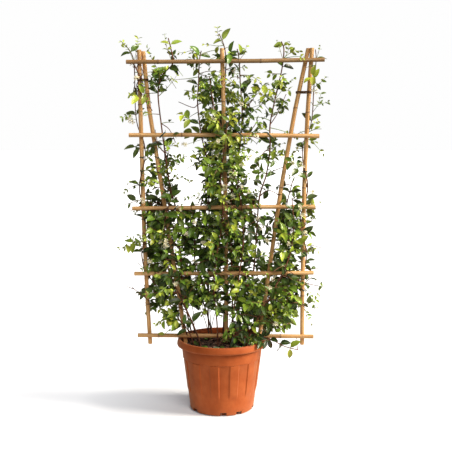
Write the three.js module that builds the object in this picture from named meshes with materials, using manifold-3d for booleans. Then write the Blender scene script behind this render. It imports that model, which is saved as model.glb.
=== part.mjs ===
// A potted star jasmine on a bamboo cane trellis, in millimetres, +Z up.
// The origin is the middle of the pot's base, on the surface that it stands on.
// The trellis lies in the X-Z plane, and the side that is looked at faces -Y.
import * as THREE from "three";
import { mergeVertices } from "three/addons/utils/BufferGeometryUtils.js";
import Module from "manifold-3d";

const wasm = await Module();
wasm.setup();

// Clearance between pieces that touch
const GAP = 0.3;

// Pot: a moulded nursery pot with a rolled rim, a neck band and fluted sides
const POT_HEIGHT = 238;
const RIM_RADIUS = 150;
const RIM_RIDGE_RADIUS = 144;
const RIM_SHOULDER = 18;
const RIM_SKIRT = 23;
const RIM_DRAFT = 3;
const RIM_ROUND = 3;
const NECK_TOP_RADIUS = 134.5;
const NECK_FOOT_RADIUS = 130.5;
const NECK_FOOT_HEIGHT = 175;
const NECK_STEP = 2;
const MOUTH_RADIUS = 135.5;
const MOUTH_DEPTH = 10;
const INNER_STEP_HEIGHT = 181;
const BODY_TOP_RADIUS = 127.5;
const BASE_RADIUS = 106;
const BASE_FILLET = 7;
const WALL = 3;
const FLOOR = 6;
const FLUTE_PANELS = 24;
const FLUTE_HEIGHT = 1.8;
const FLUTE_FOOT = 57;
const FLUTE_FADE = 9;
const FLUTE_START_DEG = -11;
const PANEL_HALF_DEG = 6.2;
const NOTCH_ANGLES_DEG = [-55, 3, 32, 75, 125, 183, 212, 255];
const NOTCH_WIDTH = 18;
const NOTCH_HEIGHT = 8;
const NOTCH_DEPTH = 12;

// Soil: bark mix, filled to a little under the rim
const SOIL_LEVEL = 219;
const SOIL_MOUND = 4;
const SOIL_BUMP = 1.8;
const SOIL_RINGS = [108, 62, 0];
const SOIL_EDGE_DROP = 2;

// Trellis: five level canes in front of five upright ones, pinned to the outer two
const CANE_RADIUS = 7;
const BAR_RADIUS = 6.8;
const CANE_SIDES = 8;
const RING_RISE = 0.7;
const RING_HALF = 3.5;
const BAR_Y = -(CANE_RADIUS + GAP + BAR_RADIUS);
const PIN_RADIUS = 0.9;
const PIN_HEAD_PROUD = 1.2;
const PIN_BITE = 9;
const HOLE_CLEARANCE = 0.5;

// Ties: flat plastic bands, with room inside for a rod that crosses them at a slope
const TIE_WALL = 1.3;
const TIE_BREADTH = 4;
const TIE_CORNERS = 6;
const SLOPE_ROOM = 1.1;
const TILT_ROOM = 2.2;
const TIE_HEIGHTS = { post_left: 796, post_right_low: 568, post_right_high: 794, middle: 812 };
const LASHING_HEIGHTS = { left: 1090, right: 1050 };

// Star jasmine leaves: a blade's width, fold and arch go with its length
const BLADE_THICKNESS = 1.6;
const BLADE_MIDDLE = 0.47;
const BLADE_WIDTH = 0.5;
const BLADE_FOLD = 0.32;
const BLADE_ARCH = 0.1;
const BLADE_SAG = 0.18;
const GUARD_MARGIN = 0.8;
const GUARD_ROOT = 0.14;

// Twining stems, with leaves in opposite pairs on them and on their shoots
const STEM_SIDES = 4;
const SHOOT_SIDES = 3;
const SHOOT_RADIUS = 1.5;
const SHOOT_TIP_RADIUS = 1.3;
const GOLDEN_ANGLE = 2.39996;
const PAIR_SLOT = 3;
const SHOOT_SLOT = 8;
const FIRST_SHOOT = 4;
const STATIONS_PER_POINT = 0.7;
const LEAF_STATIONS = [0.26, 0.43, 0.6, 0.77, 0.94];
const SOLID_STATIONS = [2, 4];
const LEAF_LENGTH = [33, 49];
const PAIR_TURN = 0.55;
const SHOOT_PAIR_TURN = 1.2;
const SHOOT_TIP_EXTRA = 0.02;
const STEM_FOOT = 186;
const TWINE_SPACE = 3.6;
const TWINE_STEPS = 6;

// Angles in radians to try, for shoots round their stem and leaves round what carries them
const SHOOT_TURNS = [0, 0.9, -0.9, 1.8, -1.8, 2.7];
const LEAF_SWINGS = [0, 0.6, -0.6, 1.2, -1.2];

// Flowers: small five-petalled stars in threes
const FLOWER_RADIUS = 9.5;
const FLOWER_THROAT = 3.4;
const FLOWER_LENGTH = 13;
const FLOWER_CUP = 1;
const FLOWERS_IN_CLUSTER = 3;
const STALK_RADIUS = 1.3;
const CLUSTER_STALK = 16;
const CLUSTER_LIFT = 5;
const CLUSTER_TRIES = 12;
const SEAT_STEP = 0.1;

const vector = (point) => new THREE.Vector3(...point);
const smooth = (edge0, edge1, x) => THREE.MathUtils.smoothstep(x, edge0, edge1);
const mix = THREE.MathUtils.lerp;
const radians = THREE.MathUtils.degToRad;

// A smooth route through points.
function route(points) {
  return new THREE.CatmullRomCurve3(points.map(vector), false, "catmullrom", 0.5);
}

// A closed three.js geometry as a solid.
function solid(geometry) {
  const plain = geometry.clone();
  plain.deleteAttribute("normal");
  plain.deleteAttribute("uv");
  const merged = mergeVertices(plain, 1e-4);
  return new wasm.Manifold(
    new wasm.Mesh({
      numProp: 3,
      vertProperties: merged.attributes.position.array,
      triVerts: new Uint32Array(merged.index.array),
    }),
  );
}

// A solid back as a three.js geometry.
function geometryOf(body) {
  const mesh = body.getMesh();
  const positions = new Float32Array(mesh.numVert * 3);
  for (let i = 0; i < mesh.numVert; i += 1) {
    positions.set(mesh.vertProperties.subarray(i * mesh.numProp, i * mesh.numProp + 3), i * 3);
  }
  const geometry = new THREE.BufferGeometry();
  geometry.setAttribute("position", new THREE.BufferAttribute(positions, 3));
  geometry.setIndex(new THREE.BufferAttribute(mesh.triVerts, 1));
  geometry.computeVertexNormals();
  return geometry;
}

// Moves every vertex of a geometry to where a rule puts it.
function reshape(geometry, rule) {
  const position = geometry.attributes.position;
  const point = new THREE.Vector3();
  for (let i = 0; i < position.count; i += 1) {
    point.fromBufferAttribute(position, i);
    const moved = rule(point, i);
    position.setXYZ(i, moved.x, moved.y, moved.z);
  }
  return geometry;
}

// The direction of a route at a place along it.
function tangentAt(curve, along) {
  const step = 0.004;
  const from = curve.getPoint(Math.max(0, along - step));
  const to = curve.getPoint(Math.min(1, along + step));
  return to.sub(from).normalize();
}

// Two directions square to a third: the first is level or nearly so.
function squareTo(direction) {
  const isAcross = Math.abs(direction.y) < 0.9;
  const reference = isAcross ? new THREE.Vector3(0, 1, 0) : new THREE.Vector3(0, 0, 1);
  const side = new THREE.Vector3().crossVectors(direction, reference).normalize();
  const up = new THREE.Vector3().crossVectors(side, direction).normalize();
  return { side, up };
}

// A closed tube of flat-sided sections: each station is a place along the route and a radius.
// A hole for it is the same tube, wider all round and a little deeper at its foot.
function tube(curve, stations, sides, clearance = 0) {
  const last = stations.length - 1;
  const geometry = new THREE.CylinderGeometry(1, 1, 1, sides, last);
  return reshape(geometry, (point) => {
    const station = Math.round((point.y + 0.5) * last);
    const [along, radius] = stations[station];
    const tangent = tangentAt(curve, along);
    const { side, up } = squareTo(tangent);
    return curve
      .getPoint(along)
      .addScaledVector(tangent, station === 0 ? -clearance : 0)
      .addScaledVector(side, point.x * (radius + clearance))
      .addScaledVector(up, point.z * (radius + clearance));
  });
}

// Lathed bodies share the flutes' column angles, so the soil follows the pot's inside.
function columnAngle(column) {
  const panel = Math.floor(column / 2);
  const side = column % 2 === 0 ? -1 : 1;
  return radians(FLUTE_START_DEG + (360 / FLUTE_PANELS) * panel + side * PANEL_HALF_DEG);
}

// A turned body from a profile of radius and height. The rule shifts each of its points out and up.
function lathe(profile, stride, shiftRule) {
  const columns = (FLUTE_PANELS * 2) / stride;
  const geometry = new THREE.LatheGeometry(
    profile.map(([radius, height]) => new THREE.Vector2(radius, height)),
    columns,
  );
  return reshape(geometry, (point, i) => {
    const column = (Math.floor(i / profile.length) % columns) * stride;
    const [radius, height] = profile[i % profile.length];
    const angle = columnAngle(column);
    const shift = shiftRule(radius, column, i % profile.length);
    return new THREE.Vector3(
      (radius + shift.out) * Math.sin(angle),
      -(radius + shift.out) * Math.cos(angle),
      height + shift.up,
    );
  });
}

// Radius of the pot's plain outer wall at a height.
function wallRadius(height) {
  return mix(BASE_RADIUS, BODY_TOP_RADIUS, height / NECK_FOOT_HEIGHT);
}

// Radius of the pot's inside where its floor meets the wall.
const FLOOR_RADIUS = wallRadius(FLOOR) - WALL - 1;

function potSolid() {
  const skirt = POT_HEIGHT - RIM_SKIRT;
  const outer = [
    [0, 0],
    [BASE_RADIUS - BASE_FILLET, 0],
    [wallRadius(BASE_FILLET), BASE_FILLET],
    [wallRadius(FLUTE_FOOT), FLUTE_FOOT],
    [wallRadius(FLUTE_FOOT + FLUTE_FADE), FLUTE_FOOT + FLUTE_FADE],
    [wallRadius(NECK_FOOT_HEIGHT - NECK_STEP), NECK_FOOT_HEIGHT - NECK_STEP],
    [NECK_FOOT_RADIUS, NECK_FOOT_HEIGHT],
    [NECK_TOP_RADIUS, skirt - 1],
    [RIM_RADIUS - RIM_DRAFT, skirt],
    [RIM_RADIUS, POT_HEIGHT - RIM_SHOULDER],
    [RIM_RIDGE_RADIUS + RIM_ROUND, POT_HEIGHT - RIM_ROUND],
    [RIM_RIDGE_RADIUS - 1, POT_HEIGHT],
  ];
  const inner = [
    [MOUTH_RADIUS, POT_HEIGHT - MOUTH_DEPTH],
    [NECK_FOOT_RADIUS - WALL, INNER_STEP_HEIGHT],
    [FLOOR_RADIUS, FLOOR],
    [0, FLOOR],
  ];
  const flutedRings = [4, 5];
  const body = lathe([...outer, ...inner], 1, (radius, column, ring) => {
    const raised = Math.floor(column / 2) % 2 === 0 && flutedRings.includes(ring);
    return { out: raised ? FLUTE_HEIGHT : 0, up: 0 };
  });
  let pot = solid(body);
  for (const angle of NOTCH_ANGLES_DEG) {
    const notch = new THREE.BoxGeometry(NOTCH_WIDTH, NOTCH_DEPTH * 2, NOTCH_HEIGHT * 2);
    notch.translate(0, -BASE_RADIUS, 0);
    notch.rotateZ(radians(angle));
    pot = pot.subtract(solid(notch));
  }
  return pot;
}

// The soil's top: a low mound with small lumps, level at the wall.
function soilTop(x, y) {
  const inner = 1 - smooth(60, 130, Math.hypot(x, y));
  const broadLumps = Math.sin(x * 0.11 + 1.3) * Math.cos(y * 0.13 - 0.4);
  const smallLumps = 0.6 * Math.sin(x * 0.23 - y * 0.19);
  return SOIL_LEVEL + SOIL_MOUND * inner + SOIL_BUMP * (broadLumps + smallLumps);
}

function soilSolid() {
  const clear = GAP + 0.1;
  const mouthHeight = POT_HEIGHT - MOUTH_DEPTH;
  const share = (SOIL_LEVEL - INNER_STEP_HEIGHT) / (mouthHeight - INNER_STEP_HEIGHT);
  const edgeRadius = mix(NECK_FOOT_RADIUS - WALL, MOUTH_RADIUS, share) - 2 * clear;
  const sides = [
    [0, FLOOR + clear],
    [FLOOR_RADIUS - clear, FLOOR + clear],
    [NECK_FOOT_RADIUS - WALL - clear, INNER_STEP_HEIGHT],
    [edgeRadius, SOIL_LEVEL - SOIL_EDGE_DROP],
  ];
  const top = SOIL_RINGS.map((radius) => [radius, SOIL_LEVEL]);
  return solid(
    lathe([...sides, ...top], 2, (radius, column, ring) => {
      if (ring < sides.length) {
        return { out: 0, up: 0 };
      }
      const angle = columnAngle(column);
      return { out: 0, up: soilTop(radius * Math.sin(angle), -radius * Math.cos(angle)) - SOIL_LEVEL };
    }),
  );
}

// Upright canes, foot to top: the inner points are their node rings, where a bamboo cane bends
const UPRIGHTS = {
  post_left: [[-240, 0, 217], [-247.5, 0, 352], [-256.3, 0, 590], [-264.6, 0, 1010], [-266, 0, 1185]],
  post_right: [[269, 0, 214], [268.2, 0, 380], [270.3, 0, 740], [279, 0, 985], [291, 0, 1191]],
  cane_leaning_left: [[-106, -2, 110], [-137, 1.5, 340], [-182, 4, 640], [-237, 7, 1000], [-254, 9, 1181]],
  cane_leaning_right: [[106, -2, 110], [143, 1.8, 360], [195, 5.2, 740], [240, 7.8, 1000], [280, 10, 1191]],
  cane_middle: [[12.5, 0, 70], [15, 0, 370], [14, 0, 610], [5.5, 0, 1020], [1, 0, 1190]],
};

// Level canes, left to right, as X and height: the inner points are node rings
const BARS = {
  bar_1_top: [[-307, 1146], [-205, 1146.2], [125, 1149], [330, 1153]],
  bar_2: [[-301, 912], [-130, 913], [110, 912], [316, 909]],
  bar_3: [[-293, 673], [-100, 675.5], [80, 678], [306, 679]],
  bar_4: [[-289, 457], [-220, 457], [215, 458.5], [303, 460]],
  bar_5_bottom: [[-280, 249], [-210, 248.5], [195, 245.5], [305, 244.5]],
};

// A path that is straight from point to point.
function straightRun(points) {
  const path = new THREE.CurvePath();
  for (let i = 1; i < points.length; i += 1) {
    path.add(new THREE.LineCurve3(vector(points[i - 1]), vector(points[i])));
  }
  return path;
}

// A cane's stations: plain lengths with a low ring at each node.
function caneStations(radius, ringPlaces, length) {
  const half = RING_HALF / length;
  const ringAt = (place) => [[place - half, radius], [place, radius + RING_RISE], [place + half, radius]];
  const rings = ringPlaces.flatMap(ringAt);
  return [[0, radius], ...rings, [1, radius]];
}

// Where a curve that climbs passes a height, by halving.
function placeAtHeight(curve, height) {
  const halvings = 40;
  let low = 0;
  let high = 1;
  for (let i = 0; i < halvings; i += 1) {
    const middle = (low + high) / 2;
    if (curve.getPoint(middle).z < height) {
      low = middle;
    } else {
      high = middle;
    }
  }
  return low;
}

const curves = {};
for (const [name, points] of Object.entries(UPRIGHTS)) {
  curves[name] = straightRun(points);
}
for (const [name, points] of Object.entries(BARS)) {
  curves[name] = straightRun(points.map(([x, z]) => [x, BAR_Y, z]));
}

// Where a bar passes a distance along X: it is nearly level, so its length goes with X.
function barPlace(name, x) {
  const [left] = BARS[name][0];
  const [right] = BARS[name].at(-1);
  return (x - left) / (right - left);
}
const barHeight = (name, x) => curves[name].getPoint(barPlace(name, x)).z;
const postX = (name, z) => curves[name].getPoint(placeAtHeight(curves[name], z)).x;

// One wire pin through each bar into each post
const pins = [];
for (const [barIndex, bar] of Object.keys(BARS).entries()) {
  for (const side of ["left", "right"]) {
    const post = `post_${side}`;
    const guess = UPRIGHTS[post][2][0];
    const x = postX(post, barHeight(bar, guess));
    const z = barHeight(bar, x);
    pins.push({ name: `pin_${barIndex + 1}_${side}`, bar, post, x, z });
  }
}

function pinGeometry(pin, radius, front, back) {
  const geometry = new THREE.CylinderGeometry(radius, radius, back - front, 6, 1);
  geometry.translate(pin.x, (front + back) / 2, pin.z);
  return geometry;
}
const pinFront = BAR_Y - BAR_RADIUS - PIN_HEAD_PROUD;
const pinBack = -CANE_RADIUS + PIN_BITE;

const root = new THREE.Group();
const placed = [];

// Adds a solid to the part as one named mesh.
function add(name, body, look) {
  const geometry = geometryOf(body);
  const mesh = new THREE.Mesh(geometry, new THREE.MeshStandardMaterial(look));
  mesh.name = name;
  root.add(mesh);
}

// Notes what is in place, for the tests of what comes later.
function keep(owner, body, box, part = {}) {
  placed.push({ owner, body, box, ...part });
}

// A geometry's box, a little larger all round.
function boxOf(geometry, margin = 0.5) {
  geometry.computeBoundingBox();
  return geometry.boundingBox.clone().expandByScalar(margin);
}

// True where a body meets nothing that is in place, apart from what the rule leaves out.
function isClear(body, box, skip) {
  return placed
    .filter((other) => !skip(other) && other.box.intersectsBox(box))
    .every((other) => other.body.intersect(body).isEmpty());
}

const LOOKS = {
  terracotta: { color: "#c9683a", roughness: 0.62, metalness: 0 },
  soil: { color: "#2a1c14", roughness: 0.95, metalness: 0 },
  bamboo: { color: "#c79a63", roughness: 0.5, metalness: 0 },
  wire: { color: "#8a8378", roughness: 0.4, metalness: 0.9 },
  tie: { color: "#1d2b22", roughness: 0.6, metalness: 0 },
  leaf: { color: "#3f6b22", roughness: 0.42, metalness: 0 },
  flower: { color: "#f4efdc", roughness: 0.6, metalness: 0 },
};

// Leafy stems. Each has its route from the soil up, its thickness, the share that stays bare,
// the number of shoots that it could carry, and how far they reach at its foot and at its tip.
const STEMS = [
  {
    name: "leafy_stem_left_inner",
    seed: 101,
    points: [
      [-84, 9, STEM_FOOT], [-99, 8, 240], [-118, 3, 331],
      [-133, -3, 440], [-140, -4.6, 552], [-149, -4.6, 661],
      [-170, -4.6, 745], [-184, -4.6, 850], [-197, -4.6, 950], [-206, -4.6, 1050], [-192, -4.6, 1103],
      [-158, -4.4, 1142], [-164, -2, 1190], [-172, 0, 1222],
    ],
    radius: [3, 1.9],
    bare: 0.14,
    slots: 20,
    reach: [95, 42],
  },
  {
    name: "leafy_stem_right_inner",
    seed: 202,
    points: [
      [50, 12, STEM_FOOT], [62, 9, 240], [88, 4, 350],
      [106, -2, 470], [115, -4.6, 600], [124, -4.6, 712],
      [146, -4.6, 785], [157, -4.6, 870], [157, -4.6, 945], [172, -4.6, 1025], [189, -4.6, 1098],
      [198, -4.4, 1150], [200, 0, 1190], [192, 4, 1212],
    ],
    radius: [3, 1.9],
    bare: 0.12,
    slots: 20,
    reach: [95, 42],
  },
  {
    name: "leafy_stem_centre_left",
    seed: 303,
    points: [
      [-42, 8, STEM_FOOT], [-44, 6, 240], [-46, -2, 350],
      [-43, -4.6, 457], [-42, -4.6, 570], [-42, -4.6, 677],
      [-45, -4.6, 760], [-50, -4.6, 840], [-66, -4.6, 911], [-78, -4.6, 1010], [-75, -4.6, 1080],
      [-72, -4.6, 1149], [-66, 0, 1182],
    ],
    radius: [2.8, 1.8],
    bare: 0.16,
    slots: 20,
    reach: [80, 60],
  },
  {
    name: "leafy_stem_centre_right",
    seed: 404,
    points: [
      [36, 8, STEM_FOOT], [36, 6, 260], [35, -3, 380],
      [33, -4.6, 457], [31, -4.6, 570], [30, -4.6, 678],
      [36, -4.6, 752], [50, -4.6, 820], [63, -4.6, 905],
      [66, -4.6, 990], [60, -4.6, 1080], [56, -4.4, 1151],
      [50, 0, 1188],
    ],
    radius: [2.8, 1.8],
    bare: 0.12,
    slots: 20,
    reach: [80, 60],
  },
  {
    name: "leafy_stem_tallest",
    seed: 505,
    points: [
      [4, 30, STEM_FOOT], [6, 24, 300], [14, 16, 430], [15, 13, 560],
      [14, 12.5, 700], [10, 12.5, 830], [8, 12.5, 960],
      [10, 13, 1080], [14, 10, 1150], [8, 4, 1196], [-8, -2, 1236],
    ],
    radius: [2.8, 1.6],
    bare: 0.2,
    slots: 17,
    reach: [85, 38],
  },
  {
    name: "leafy_stem_back_column",
    seed: 606,
    points: [
      [-22, 38, STEM_FOOT], [-48, 42, 300], [-84, 38, 420],
      [-92, 34, 540], [-76, 28, 650], [-50, 26, 760],
      [-34, 26, 870], [-28, 24, 970], [-36, 20, 1060],
    ],
    radius: [2.8, 1.7],
    bare: 0.15,
    slots: 17,
    reach: [95, 55],
  },
  {
    name: "leafy_stem_front_column",
    seed: 707,
    points: [
      [-12, -36, STEM_FOOT], [-16, -44, 300], [-26, -48, 420],
      [-14, -44, 540], [4, -40, 650], [-4, -36, 760],
      [8, -40, 860], [18, -39, 950],
    ],
    radius: [2.8, 1.7],
    bare: 0.15,
    slots: 17,
    reach: [90, 50],
  },
  {
    name: "leafy_stem_front_right_column",
    seed: 808,
    points: [
      [28, -34, STEM_FOOT], [34, -42, 300], [52, -44, 430],
      [70, -40, 560], [64, -36, 680], [40, -33, 790],
      [12, -28, 900], [-24, -27, 1000], [-40, -27, 1100],
    ],
    radius: [2.8, 1.6],
    bare: 0.12,
    slots: 17,
    reach: [85, 45],
  },
  {
    name: "leafy_stem_left_front",
    seed: 909,
    points: [
      [-60, -38, STEM_FOOT], [-82, -48, 262], [-118, -50, 350],
      [-160, -44, 440], [-188, -38, 540], [-184, -34, 640],
      [-160, -31, 720],
    ],
    radius: [2.8, 1.7],
    bare: 0.2,
    slots: 17,
    reach: [90, 55],
  },
  {
    name: "leafy_stem_left_back",
    seed: 1010,
    points: [
      [-76, 50, STEM_FOOT], [-108, 60, 290], [-160, 56, 390],
      [-204, 46, 490], [-214, 36, 600], [-200, 30, 710],
      [-216, 26, 800],
    ],
    radius: [2.8, 1.7],
    bare: 0.18,
    slots: 17,
    reach: [90, 50],
  },
  {
    name: "leafy_stem_right_front",
    seed: 1111,
    points: [
      [66, -46, STEM_FOOT], [92, -56, 262], [132, -54, 340],
      [176, -46, 420], [218, -38, 510], [234, -34, 610],
      [228, -31, 710],
    ],
    radius: [2.8, 1.7],
    bare: 0.1,
    slots: 17,
    reach: [90, 55],
  },
  {
    name: "leafy_stem_right_back",
    seed: 1212,
    points: [
      [72, 54, STEM_FOOT], [108, 62, 270], [160, 58, 350], [206, 48, 440],
      [226, 38, 550], [214, 32, 660], [234, 27, 760],
    ],
    radius: [2.8, 1.7],
    bare: 0.1,
    slots: 17,
    reach: [90, 50],
  },
  {
    name: "leafy_stem_left_post",
    seed: 1313,
    points: [
      [-100, 30, STEM_FOOT], [-122, 34, 250], [-168, 32, 330],
      [-214, 24, 400], ...twine("post_left", 1),
      [-274, 12, 938], [-280, 0, 985], [-281, -3, 1065],
      [-283, -4, 1146], [-296, -2, 1182], [-318, 0, 1206],
    ],
    radius: [2.2, 1.6],
    bare: 0.1,
    slots: 20,
    reach: [62, 40],
  },
  {
    name: "leafy_stem_right_post",
    seed: 1414,
    points: [
      [98, 34, STEM_FOOT], [126, 38, 250], [178, 34, 330], [226, 24, 400], ...twine("post_right", -1),
      [289, 11, 938], [295, 0, 985], [298, -3, 1065], [304, -4, 1151], [302, 0, 1186],
    ],
    radius: [2.2, 1.6],
    bare: 0.08,
    slots: 23,
    reach: [70, 52],
  },
  {
    name: "leafy_stem_right_trailing",
    seed: 1515,
    points: [
      [94, -30, STEM_FOOT], [106, -38, 228], [134, -50, 252],
      [166, -56, 243], [206, -56, 222], [252, -50, 208],
    ],
    radius: [2.2, 1.5],
    bare: 0.35,
    slots: 12,
    reach: [42, 32],
  },
  {
    name: "leafy_stem_left_low",
    seed: 1616,
    points: [
      [-88, -24, STEM_FOOT], [-98, -36, 240], [-118, -46, 284], [-146, -50, 312], [-172, -50, 310],
    ],
    radius: [2.2, 1.5],
    bare: 0.4,
    slots: 12,
    reach: [52, 40],
  },
];

// A stem wound round a post, one turn from bar to bar, and behind the post where a bar crosses it.
function twine(post, sense) {
  const levels = ["bar_4", "bar_3", "bar_2"].map((bar) => barHeight(bar, UPRIGHTS[post][2][0]));
  const winding = CANE_RADIUS + RING_RISE + GAP + TWINE_SPACE;
  const points = [];
  for (let bay = 0; bay < levels.length - 1; bay += 1) {
    for (let step = bay === 0 ? 0 : 1; step <= TWINE_STEPS; step += 1) {
      const z = mix(levels[bay], levels[bay + 1], step / TWINE_STEPS);
      const angle = Math.PI / 2 + (sense * 2 * Math.PI * step) / TWINE_STEPS;
      points.push([postX(post, z) + winding * Math.cos(angle), winding * Math.sin(angle), z]);
    }
  }
  return points;
}

// Repeatable random numbers from 0 to 1.
function draws(seed) {
  let state = seed;
  return () => {
    state = (Math.imul(state, 1664525) + 1013904223) >>> 0;
    return state / 4294967296;
  };
}

// One leaf's place: its root, the way it points, its upper side and its length.
function leafPlan(rootPoint, tangent, turn, spread, length, tilt) {
  const { side, up } = squareTo(tangent);
  const away = side.multiplyScalar(Math.cos(turn)).addScaledVector(up, Math.sin(turn));
  const direction = tangent
    .clone()
    .multiplyScalar(Math.cos(spread))
    .addScaledVector(away, Math.sin(spread))
    .add(new THREE.Vector3(0, 0, -BLADE_SAG))
    .normalize();
  const light = new THREE.Vector3(tilt, rootPoint.y < 0 ? -0.8 : 0.8, 0.7);
  const normal = light.addScaledVector(direction, -light.dot(direction)).normalize();
  return { root: rootPoint, direction, normal, length };
}

// The places along a stem where it carries a pair of leaves or a shoot, with the random part of each.
function shootPlans(stem) {
  const draw = draws(stem.seed);
  const plans = [];
  for (let slot = 0; slot < stem.slots; slot += 1) {
    const along = stem.bare + ((1 - stem.bare) * (slot + 0.8)) / stem.slots;
    const turn = slot * GOLDEN_ANGLE + 0.8 * (draw() - 0.5);
    const rise = -0.1 + 0.9 * draw();
    const reach = mix(stem.reach[0], stem.reach[1], along) * (0.7 + 0.6 * draw());
    const curl = -0.55 + 0.8 * draw();
    const leaves = [0, ...LEAF_STATIONS].map(() => [0, 1].map(() => [draw(), draw(), draw(), draw()]));
    plans.push({ slot, along, turn, rise, reach, curl, leaves });
  }
  return plans;
}

// Radius of a stem at a place along it.
function stemRadius(stem, along) {
  return mix(stem.radius[0], stem.radius[1], along);
}

// A stem's stations: one at the root of each shoot, and others between them where it bends.
function stemStations(stem) {
  const roots = [0, ...stem.plans.map((plan) => plan.along), 1];
  const longest = 1 / (stem.points.length * STATIONS_PER_POINT);
  const places = [0];
  for (let i = 1; i < roots.length; i += 1) {
    const parts = Math.ceil((roots[i] - roots[i - 1]) / longest);
    for (let part = 1; part <= parts; part += 1) {
      places.push(mix(roots[i - 1], roots[i], part / parts));
    }
  }
  return places.map((along) => [along, stemRadius(stem, along)]);
}

const carriesPair = (plan) => plan.slot % PAIR_SLOT === 0;
const carriesShoot = (plan) => plan.slot % SHOOT_SLOT === FIRST_SHOOT;

// A shoot's route: out from the stem, then lifting or sagging.
function shootCurve(curve, plan, extraTurn) {
  const start = curve.getPoint(plan.along);
  const angle = plan.turn + extraTurn;
  const out = new THREE.Vector3(Math.cos(angle), 0.72 * Math.sin(angle), plan.rise).normalize();
  const at = (share) =>
    start
      .clone()
      .addScaledVector(out, plan.reach * share)
      .add(new THREE.Vector3(0, 0, plan.curl * plan.reach * share * share));
  return route([start, at(0.5), at(1)].map((p) => p.toArray()));
}

// The two leaves of a pair, on opposite sides of what carries them.
function leafPair(curve, along, pair, firstTurn, extraTurn) {
  return pair.map(([size, swing, lean, roll], member) =>
    leafPlan(
      curve.getPoint(along),
      tangentAt(curve, along),
      firstTurn + member * Math.PI + 0.9 * (swing - 0.5) + extraTurn,
      0.8 + 0.5 * lean,
      mix(LEAF_LENGTH[0], LEAF_LENGTH[1], size),
      1.2 * (roll - 0.5),
    ),
  );
}

// Pairs on a stem lie mostly along the trellis, and those on a shoot turn from pair to pair.
function stemPair(stem, plan, extraTurn) {
  return leafPair(stem.curve, plan.along, plan.leaves[0], PAIR_TURN * (plan.slot % 3) - PAIR_TURN, extraTurn);
}

function shootPair(curve, plan, station, extraTurn) {
  const pair = plan.leaves[station + 1];
  return leafPair(curve, LEAF_STATIONS[station], pair, station * SHOOT_PAIR_TURN, extraTurn);
}

// Leaf outline: share of the length from the root, and of the width from the midrib.
const OUTLINE = [[1, 0], [0.68, 0.4], [0.27, 0.42], [0, 0], [0.27, -0.42], [0.68, -0.4]];

// A folded, arched blade, thickest at its middle: a six-sided double cone pulled to the leaf's outline.
// A guard is the same blade without its root, and larger all round.
function blade(plan, thickness, rootShare = 0, margin = 0) {
  const corners = OUTLINE.length;
  const side = new THREE.Vector3().crossVectors(plan.normal, plan.direction);
  const arch = (share) => BLADE_ARCH * plan.length * (0.49 - (2 * share - 0.7) ** 2);
  return reshape(new THREE.SphereGeometry(1, corners, 2), (point) => {
    const isRim = Math.abs(point.y) < 0.5;
    const corner = Math.round((Math.atan2(-point.z, point.x) / (2 * Math.PI)) * corners + corners) % corners;
    const [share, across] = isRim ? OUTLINE[corner] : [BLADE_MIDDLE, 0];
    const along = Math.max(share, rootShare);
    const off = across * plan.length * BLADE_WIDTH + Math.sign(across) * margin;
    const height = BLADE_FOLD * Math.abs(off) + arch(along) + (isRim ? 0 : (point.y * thickness) / 2);
    return plan.root
      .clone()
      .addScaledVector(plan.direction, along * plan.length)
      .addScaledVector(side, off)
      .addScaledVector(plan.normal, height);
  });
}

// A flat convex outline round a set of points, counter-clockwise.
function hull(points) {
  const sorted = [...points].sort((a, b) => a[0] - b[0] || a[1] - b[1]);
  const turnsLeft = (o, a, b) => (a[0] - o[0]) * (b[1] - o[1]) - (a[1] - o[1]) * (b[0] - o[0]) > 1e-6;
  const chain = (list) => {
    const kept = [];
    for (const point of list) {
      while (kept.length > 1 && !turnsLeft(kept[kept.length - 2], kept[kept.length - 1], point)) {
        kept.pop();
      }
      kept.push(point);
    }
    return kept.slice(0, -1);
  };
  return [...chain(sorted), ...chain(sorted.reverse())];
}

// A flat band that loops round two rods. In the band's plane each rod has a middle and two half sizes.
function band(rods, centre, across, off) {
  const reach = 1 / Math.cos(Math.PI / TIE_CORNERS);
  const around = (grow) => {
    const points = [];
    for (const [u, v, halfLength, halfBreadth] of rods) {
      for (let i = 0; i < TIE_CORNERS; i += 1) {
        const angle = (2 * Math.PI * (i + 0.5)) / TIE_CORNERS;
        points.push([
          u + (halfLength + grow) * reach * Math.cos(angle),
          v + (halfBreadth + grow) * reach * Math.sin(angle),
        ]);
      }
    }
    return hull(points).map(([x, y]) => new THREE.Vector2(x, y));
  };
  const shape = new THREE.Shape(around(GAP + TIE_WALL));
  shape.holes.push(new THREE.Path(around(GAP)));
  const geometry = new THREE.ExtrudeGeometry(shape, { depth: TIE_BREADTH, steps: 1, bevelEnabled: false });
  geometry.translate(0, 0, -TIE_BREADTH / 2);
  const axis = new THREE.Vector3().crossVectors(across, off);
  geometry.applyMatrix4(new THREE.Matrix4().makeBasis(across, off, axis).setPosition(centre));
  return solid(geometry);
}

function uprightStations(name) {
  const places = UPRIGHTS[name].slice(1, -1).map((point) => placeAtHeight(curves[name], point[2]));
  return caneStations(CANE_RADIUS, places, curves[name].getLength());
}

function barStations(name) {
  const places = BARS[name].slice(1, -1).map(([x]) => barPlace(name, x));
  return caneStations(BAR_RADIUS, places, curves[name].getLength());
}

// Every rigid piece and every bare stem comes first, then what has to stay clear of them.
const bodies = new Map();
let soil = soilSolid();

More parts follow.
